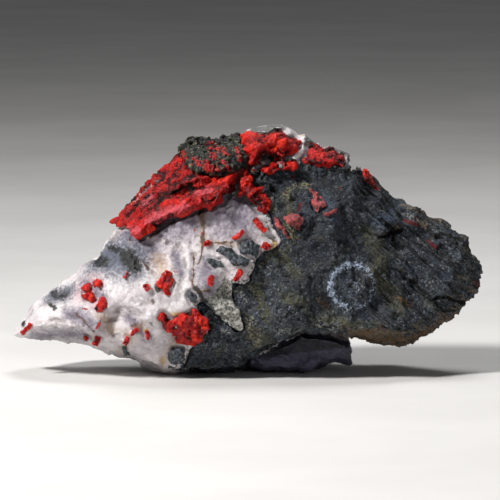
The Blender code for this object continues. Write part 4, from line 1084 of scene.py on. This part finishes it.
# In the reliefs below, each pattern's strength stands before it, and the size in millimetres
# and the seed come first in it.
class SPECIMEN_OT_calcite(bpy.types.Operator):
    """Makes the white calcite with its foot, crest, stain colours, pits and painted shade"""

    bl_idname = "specimen.calcite"
    bl_label = "Calcite"

    def execute(self, context):
        shape = context.scene.specimen_shape
        piece = copy_of_node("calcite_stone", "calcite")
        fill_pockets(piece, CALCITE_INLAYS)
        refine(piece, shape.stone_detail, 4)

        def relief(points, facing):
            rise = 0.30 * field(points, 5.0, 1) + 0.22 * (field(points, 2.2, 2, "ridged") - 1.0)
            rise += 0.45 * (chipped(points, 3.6, 4, 0.5) - 0.6)
            rise += 0.30 * (chipped(points, 1.4, 5, 0.6) - 0.2)
            rise += 0.22 * facets(points, 2.0, 11, 0.5, 0.16)
            rise += 0.10 * (field(points, 0.9, 13, "ridged") - 1.0)
            rise += facing * (bowls(points, CALCITE_SHAPES) + grooves(points, CALCITE_RIDGES))
            rise *= np.clip((CREST_LEVEL - points[:, 1]) / 9.0, 0.35, 1)
            calm = held(0.15 + quiet_near(points, CALCITE_INLAYS, 2.5))
            walls = (facing <= 0) & crevice(points)
            return np.where(walls, -0.15, rise * shape.stone_relief * calm)

        heights = standardised(sculpt(piece, relief))
        points, facing = elevation_of(piece)
        laid = wavered(points, 0.5, 1.4, 3)
        line = wavered(points, 0.25, 1.6, 4)
        seen = facing * (points[:, 2] > FRONT_DEPTH)
        behind = 1 - seen
        old = held(field(points, 7.0, 9) * 1.2 + 0.1)
        stone = surface_of(["calcite"])

        def marked(where, rows, softness=0.5):
            return seen * marks(where, on_surface(stone, rows), softness)

        # Of these, lilac is painted shade; the others are stains.
        for name, where, rows, softness in (
                ("brown", line, BROWN_CRACKS, 1.0), ("yellow", laid, YELLOW_SPOTS, 0.5),
                ("haze", laid, HAZE, 1.6), ("lilac_shade", laid, LILAC_SHADE, 1.2),
                ("blush", laid, BLUSH, 1.6), ("red", laid, RED_ON_CALCITE, 0.5)):
            paint(piece, name, marked(where, rows, softness))
        tongue = inside(laid, TONGUE)
        hollow = inside(laid, HOLLOW_EDGE + UNDER_HOLLOW)
        tan = marked(laid, TAN_HALOS + TAN_PITS, 1.4)
        paint(piece, "tan", np.maximum(tan, 0.7 * behind * old))
        olive = marked(laid, OLIVE_ZONES, 1.6) * 0.75
        paint(piece, "olive", np.maximum(olive, 0.85 * seen * tongue))
        patches = behind * held(field(points, 9.0, 12) * 0.8)
        paint(piece, "grey", np.maximum(marked(line, GREY_ZONES, 1.1), patches))
        edge = seen * marks(laid, [(HOST_EDGE, 1.2)], 1.6) * 0.9
        speck = np.maximum(marked(laid, SPECKLED, 1.6) * 0.62, 0.50 * seen * tongue)
        paint(piece, "speck", np.maximum(speck, edge))
        # Painted shade: under the hollow's rim, above a line that rises to the right, the foot is
        # dark, in patches too; so are some hollows and the crevices' hidden walls.
        recess = held((points[:, 1] - 3.0 - 0.12 * points[:, 0]) / 1.2)
        pit_shade = np.clip(field(points, 1.3, 17) * 1.4, 0, 0.6)
        recess_shade = np.maximum(hollow * np.maximum(recess, pit_shade), marks(laid, CALCITE_HOLLOW_SHADE, 1.4))
        paint(piece, "recess_shade", np.maximum(seen * recess_shade, (facing <= 0) & crevice(points)))
        crest = np.maximum(marks(laid, CREST_GREY, 1.3), marks(laid, [(HOST_TOP, 1.1)], 1.0))
        paint(piece, "crest", facing * crest * (points[:, 2] > CREST_DEPTH))
        paint(piece, "foot", (hollow & (points[:, 2] > FOOT_DEPTH)).astype(float))
        paint(piece, "vein", (seen > 0) * nearness(line, CALCITE_VEINS))
        # Painted shade: the calcite is darker where its relief is low.
        paint(piece, "cavity_shade", held(0.1 - heights * 0.28))
        paint(piece, "dirt", 0.8 * held(field(points, 2.0, 16) * 1.5 - 0.35))
        finish_piece(piece, "calcite",
                     calcite_finish(context.scene.specimen_colours.calcite))
        return {"FINISHED"}


def from_druse(points):
    """How far each point is from the middle of the ring of fine crystals, and which way."""
    u, v = points[:, 0] - DRUSE_CENTRE[0], points[:, 1] - DRUSE_CENTRE[1]
    return np.hypot(u, v), np.arctan2(v, u)


class SPECIMEN_OT_limestone(bpy.types.Operator):
    """Makes the dark limestone with its chips, beds, cracks, weathering and painted shade"""

    bl_idname = "specimen.limestone"
    bl_label = "Limestone"

    def execute(self, context):
        shape = context.scene.specimen_shape
        piece = copy_of_node("limestone_stone", "limestone")
        fill_pockets(piece, LIMESTONE_INLAYS)
        stones = surface_of(["calcite", "limestone"])
        join_into(piece, [seam_rope(stones, FRONT_SEAM, 1), seam_rope(stones, BACK_SEAM, -1)])
        refine(piece, shape.stone_detail * HOST_FINER, 3)

        def relief(points, facing):
            right = held((points[:, 0] - 16.0) / 10.0)
            rise = 0.55 * (chipped(points, 3.4, 6, 0.6) - 0.6)
            rise += 0.40 * (1 - 0.7 * right) * (chipped(points, 1.6, 7, 0.7) - 0.25)
            rise += 0.50 * (1 - 0.85 * right) * (lumps(points, 1.25, 19) - 0.6)
            rise += 0.30 * field(points, 2.6, 8)
            beds = drawn_along(points, -GRAIN_RUN, 0.16, 0.3)
            rise += 0.60 * right * (field(beds, 1.1, 26, "ridged") - 1.2)
            rise += facing * bowls(points, HOST_SHAPES)
            cracks = [(line, 0.45, -1.0) for line in HOST_CRACKS]
            rise += facing * grooves(wavered(points, *CRACK_WAVER), cracks)
            away, _ = from_druse(points)
            rise += 0.4 * facing * held(1 - abs(away - DRUSE_RADIUS) / 1.1)
            rise -= 0.9 * facing * held(1 - away / 0.9)
            calm = held(0.3 + quiet_near(points, PATCH_NODES, 2.0))
            return rise * shape.stone_relief * calm + 0.1

        heights = standardised(sculpt(piece, relief))
        points, facing = elevation_of(piece)
        laid = wavered(points, 0.5, 1.5, 22)
        fine = wavered(points, 0.25, 0.9, 24)
        for name, where, rows, softness, strength in (
                ("bluish", laid, HOST_BLUISH, 1.4, 0.8), ("olive", laid, HOST_OLIVE, 1.6, 0.85),
                ("rust", laid, HOST_RUST, 1.4, 0.75), ("cream", laid, HOST_CREAM, 1.8, 0.8),
                ("shade", laid, HOST_SHADE, 1.4, 1.0), ("hole_shade", laid, HOST_HOLE_SHADE, 1.6, 1.0),
                ("red", fine, HOST_RED, 0.5, 1.0)):
            paint(piece, name, facing * marks(where, rows, softness) * strength)
        away, turn = from_druse(points)
        ring = held(1.2 - abs(away - DRUSE_RADIUS) / 1.5)
        ring *= 0.76 + 0.24 * held(np.cos(turn - 2.6) + 0.5)
        middle = 0.62 * held(1.3 - away / DRUSE_RADIUS)
        paint(piece, "druse", facing * np.maximum(ring, middle) * 0.75)
        # What faces down at the right end is weathered tan.
        under = held(-normals_of(piece.data)[:, 2] * 1.4) * 0.7
        under *= held((points[:, 0] - 12.0) / 6.0)
        paint(piece, "tan", np.maximum(facing * marks(laid, HOST_TAN, 1.4) * 0.85, under))
        pale = np.maximum(marks(laid, HOST_PALE, 1.4) * 0.7, marks(laid, HOST_FADE, 1.6) * 0.62)
        paint(piece, "pale", facing * pale)
        paint(piece, "beds", facing * held((points[:, 0] - 19.0) / 6.0))
        # Painted shade: the limestone is darker where its relief is low.
        paint(piece, "cavity_shade", held(0.15 - heights * 0.28))
        cracks = wavered(points, *CRACK_WAVER)
        paint(piece, "crack", (facing > 0.1) * nearness(cracks, HOST_CRACKS))
        finish_piece(piece, "limestone",
                     limestone_finish(context.scene.specimen_colours.limestone))
        return {"FINISHED"}


def crust_relief(points, facing, lines, seed):
    """Folded and ridged relief that runs up to the right."""
    drawn = drawn_along(points, GRAIN_RUN, 0.42, 0.8)
    rise = 0.70 * (chipped(drawn, 1.5, seed, 0.8) + 0.35)
    rise += 0.30 * (field(drawn, 0.8, seed + 1, "ridged") - 1.2)
    rise += 0.36 * facets(drawn, 0.9, seed + 3, 0.9, 0.35)
    rise += 0.20 * field(points, 2.6, seed + 2) + 0.12 * field(points, 0.35, seed + 4)
    return rise + facing * grooves(wavered(points, 0.35, 1.2, seed), lines)


def realgar_paint(piece, **values):
    """Stores what the realgar finish reads, each 0 if not given: the painted highlight and shade
    by height, then dark, pink and rim.
    """
    nothing = np.zeros(len(piece.data.vertices))
    for name in ("ridge", "dark", "pink", "rim"):
        paint(piece, name, held(nothing + values.get(name, 0.0)))


class SPECIMEN_OT_crusts(bpy.types.Operator):
    """Makes the folded realgar crusts"""

    bl_idname = "specimen.crusts"
    bl_label = "Realgar crusts"

    def execute(self, context):
        shape = context.scene.specimen_shape
        for seed, node in enumerate(CRUST_NODES, 30):
            piece = copy_of_node(f"{node}_folded", node)
            refine(piece, shape.crust_detail, 1)
            lines = CRUST_GROOVES if node == "realgar_crust_left" else TOP_HOLLOWS

            def relief(points, facing):
                return crust_relief(points, facing, lines, seed) * shape.crust_relief + CLOSING

            heights = standardised(sculpt(piece, relief))
            points, facing = elevation_of(piece)
            laid = wavered(points, 0.4, 1.0, seed)
            # The upper left, beyond a rising line, is darker.
            upper = held((points[:, 1] - 44.5 - 0.55 * points[:, 0]) / 3.0)
            upper *= points[:, 0] < -5.0
            # Painted shade: dark grooves, and dark patches from noise, more of them at the upper
            # left.
            hollows = held(field(points, 1.5, seed + 7) * 1.8) * (0.4 + 0.6 * upper)
            # Painted shade: the right crust is darker overall.
            crust_shade = 0.14 if node == "realgar_crust_right" else 0.04
            # Painted highlight on the high relief and painted shade on the low; pink is painted
            # sheen.
            realgar_paint(
                piece, ridge=0.52 + 0.20 * heights - 0.16 * upper - crust_shade,
                dark=np.maximum(facing * -grooves(laid, lines) * 0.9, hollows),
                pink=facing * marks(laid, CRUST_PINK_SHEEN, 1.4), rim=marks(laid, CRUST_RIM, 1.2) * 0.7)
            finish_piece(piece, node, realgar_material("grown realgar"))
        return {"FINISHED"}


class SPECIMEN_OT_sulphide(bpy.types.Operator):
    """Makes the granular green-black crust"""

    bl_idname = "specimen.sulphide"
    bl_label = "Dark sulphide crust"

    def execute(self, context):
        piece = copy_of_node("dark_sulphide_granular", "dark_sulphide_crust")
        refine(piece, context.scene.specimen_shape.crust_detail, 3)

        def relief(points, facing):
            worms = 0.5 * (field(points, 1.2, 40, "ridged") - 1.2)
            return 0.75 * (lumps(points, 1.0, 42) - 0.5) + worms + CLOSING

        heights = standardised(sculpt(piece, relief))
        points, facing = elevation_of(piece)
        paint(piece, "red", facing * marks(wavered(points, 0.5, 0.9, 46), RED_ON_SULPHIDE, 1.2))
        # Painted shade in the low places and in patches from noise; the tops are lighter by
        # height, as painted highlight.
        gaps = 0.9 * held(field(points, 1.8, 44) * 1.8)
        paint(piece, "hollow", held(0.25 - heights * 0.5 + gaps))
        paint(piece, "top", held(0.25 + heights * 0.25))
        finish_piece(piece, "dark_sulphide_crust",
                     sulphide_finish(context.scene.specimen_colours.sulphide))
        return {"FINISHED"}


def grow_realgar(node, seed, spacing, rise, size, warp, light_level,
                 finish=("grown realgar",)):
    """Dresses a small realgar piece as a jumble of flat crystal faces of a size, all in
    millimetres but the spacing of its mesh, which is in metres."""
    piece = copy_of_node(f"{node}_grown", node)
    bend(piece, warp, 1.6, seed)
    refine(piece, spacing, 1)

    def relief(points, facing):
        faces = 0.7 * (chipped(points, size * 1.2, seed, 0.9) + 0.62 * size)
        return rise + faces + 0.6 * facets(points, size, seed, 0.5, 0.12)

    heights = standardised(sculpt(piece, relief))
    bring_forward(piece, 0.2)
    points, _ = elevation_of(piece)
    # Painted highlight on the high faces and painted shade on the low ones, from the light level
    # up; pink is painted sheen.
    realgar_paint(piece, ridge=light_level + 0.2 * heights, dark=field(points, 1.0, seed + 9) - 0.3,
                  pink=np.clip(field(points, 0.9, seed + 3) * 1.2, 0, 0.8))
    finish_piece(piece, node, realgar_material(*finish))


class SPECIMEN_OT_clusters(bpy.types.Operator):
    """Makes the grown-together realgar clusters"""

    bl_idname = "specimen.clusters"
    bl_label = "Realgar clusters"

    def execute(self, context):
        spacing = context.scene.specimen_shape.crust_detail * CLUSTER_FINER
        for seed, node in enumerate(CLUSTER_NODES, 50):
            grow_realgar(node, seed, spacing, rise=0.22, size=0.8, warp=0.3, light_level=0.56)
        return {"FINISHED"}


class SPECIMEN_OT_crystals(bpy.types.Operator):
    """Makes the single realgar prisms, with worn edges and uneven ends"""

    bl_idname = "specimen.crystals"
    bl_label = "Realgar crystals"

    def execute(self, context):
        for seed, node in enumerate(CRYSTAL_NODES, 60):
            grow_realgar(node, seed, CRYSTAL_SPACING, rise=0.0, size=0.5, warp=0.18,
                         light_level=0.62)
        return {"FINISHED"}


class SPECIMEN_OT_patches(bpy.types.Operator):
    """Makes the flat cleaved realgar patches on the limestone"""

    bl_idname = "specimen.patches"
    bl_label = "Realgar patches"

    def execute(self, context):
        for seed, node in enumerate(PATCH_NODES, 80):
            grow_realgar(node, seed, PATCH_SPACING, rise=-0.1, size=0.8, warp=0.4, light_level=0.45,
                         finish=("cleaved realgar", CLEAVED_PINK_SHEEN))
        return {"FINISHED"}


class SPECIMEN_OT_chips(bpy.types.Operator):
    """Makes the dark shale chips held in the calcite"""

    bl_idname = "specimen.chips"
    bl_label = "Shale chips"

    def execute(self, context):
        material = shale_finish()
        for seed, node in enumerate(CHIP_NODES, 90):
            piece = copy_of_node(f"{node}_broken", node)
            bend(piece, 0.6, 1.8, seed)
            refine(piece, CHIP_SPACING, 2)

            def relief(points, facing):
                rise = 0.30 + 0.5 * (chipped(points, 1.5, seed, 0.7) - 0.2)
                return rise + 0.25 * (lumps(points, 0.8, seed) - 0.5)

            sculpt(piece, relief)
            bring_forward(piece, 0.4)
            finish_piece(piece, node, material)
        return {"FINISHED"}


def aim_at(holder, place, aim):
    """Puts a lamp or a camera at a place, looking at another, and adds it to the scene."""
    holder.location = place
    holder.rotation_euler = (Vector(aim) - Vector(place)).to_track_quat("-Z", "Y").to_euler()
    bpy.context.scene.collection.objects.link(holder)


class SPECIMEN_OT_stage(bpy.types.Operator):
    """Makes the pale floor, the soft lights and the camera"""

    bl_idname = "specimen.stage"
    bl_label = "Stage"

    def execute(self, context):
        scene = context.scene
        bpy.ops.object.select_all(action="DESELECT")
        bpy.ops.mesh.primitive_plane_add(size=6.0, location=(0, 0, 0))
        floor = context.view_layer.objects.active
        floor.name = "studio_floor"
        material, graph, shader, where = new_finish("floor")
        base = graph.tints(tuple(scene.specimen_colours.floor), [
            (graph.noise(where, 0.02, 3.0), (0.3, 0.7), (206, 205, 203))])
        graph.dial(shader, Base_Color=base, Roughness=0.7)
        floor.data.materials.append(material)

        centre = Vector(to_world([VIEW_CENTRE])[0])
        camera = bpy.data.cameras.new("camera")
        camera.lens = 360
        camera.sensor_width = 36
        camera.clip_start = 0.05
        scene.camera = bpy.data.objects.new("camera", camera)
        aim_at(scene.camera, centre + VIEWWARD * CAMERA_AWAY, centre)

        for name, place, size, power, colour in LAMPS:
            lamp = bpy.data.lights.new(name, "AREA")
            lamp.shape = "DISK"
            lamp.size = size
            lamp.energy = power
            lamp.color = colour
            aim_at(bpy.data.objects.new(name, lamp), place, centre)
        world = bpy.data.worlds.new("studio")
        world.use_nodes = True
        graph = Graph(world.node_tree)
        graph.dial(world.node_tree.nodes["Background"], Color=(0.86, 0.87, 0.9, 1), Strength=0.10)
        scene.world = world
        scene.view_settings.view_transform = "Standard"
        return {"FINISHED"}


class SPECIMEN_PT_panel(bpy.types.Panel):
    bl_label = "Realgar specimen"
    bl_idname = "SPECIMEN_PT_panel"
    bl_space_type = "VIEW_3D"
    bl_region_type = "UI"
    bl_category = "Specimen"

    def draw(self, context):
        for group in (context.scene.specimen_shape, context.scene.specimen_colours):
            for name in group.__annotations__:
                self.layout.prop(group, name)
        for operator in OPERATORS:
            self.layout.operator(operator.bl_idname)


OPERATORS = (
    SPECIMEN_OT_calcite, SPECIMEN_OT_limestone, SPECIMEN_OT_crusts, SPECIMEN_OT_sulphide,
    SPECIMEN_OT_clusters, SPECIMEN_OT_crystals, SPECIMEN_OT_patches, SPECIMEN_OT_chips,
    SPECIMEN_OT_stage,
)
CLASSES = (SpecimenShape, SpecimenColours, *OPERATORS, SPECIMEN_PT_panel)


def register():
    for each in CLASSES:
        bpy.utils.register_class(each)
    bpy.types.Scene.specimen_shape = bpy.props.PointerProperty(type=SpecimenShape)
    bpy.types.Scene.specimen_colours = bpy.props.PointerProperty(type=SpecimenColours)


def unregister():
    del bpy.types.Scene.specimen_colours
    del bpy.types.Scene.specimen_shape
    for each in reversed(CLASSES):
        bpy.utils.unregister_class(each)


def main():
    register()
    bpy.ops.specimen.calcite()
    bpy.ops.specimen.limestone()
    bpy.ops.specimen.crusts()
    bpy.ops.specimen.sulphide()
    bpy.ops.specimen.clusters()
    bpy.ops.specimen.crystals()
    bpy.ops.specimen.patches()
    bpy.ops.specimen.chips()
    bpy.ops.specimen.stage()


if __name__ == "__main__":
    main()
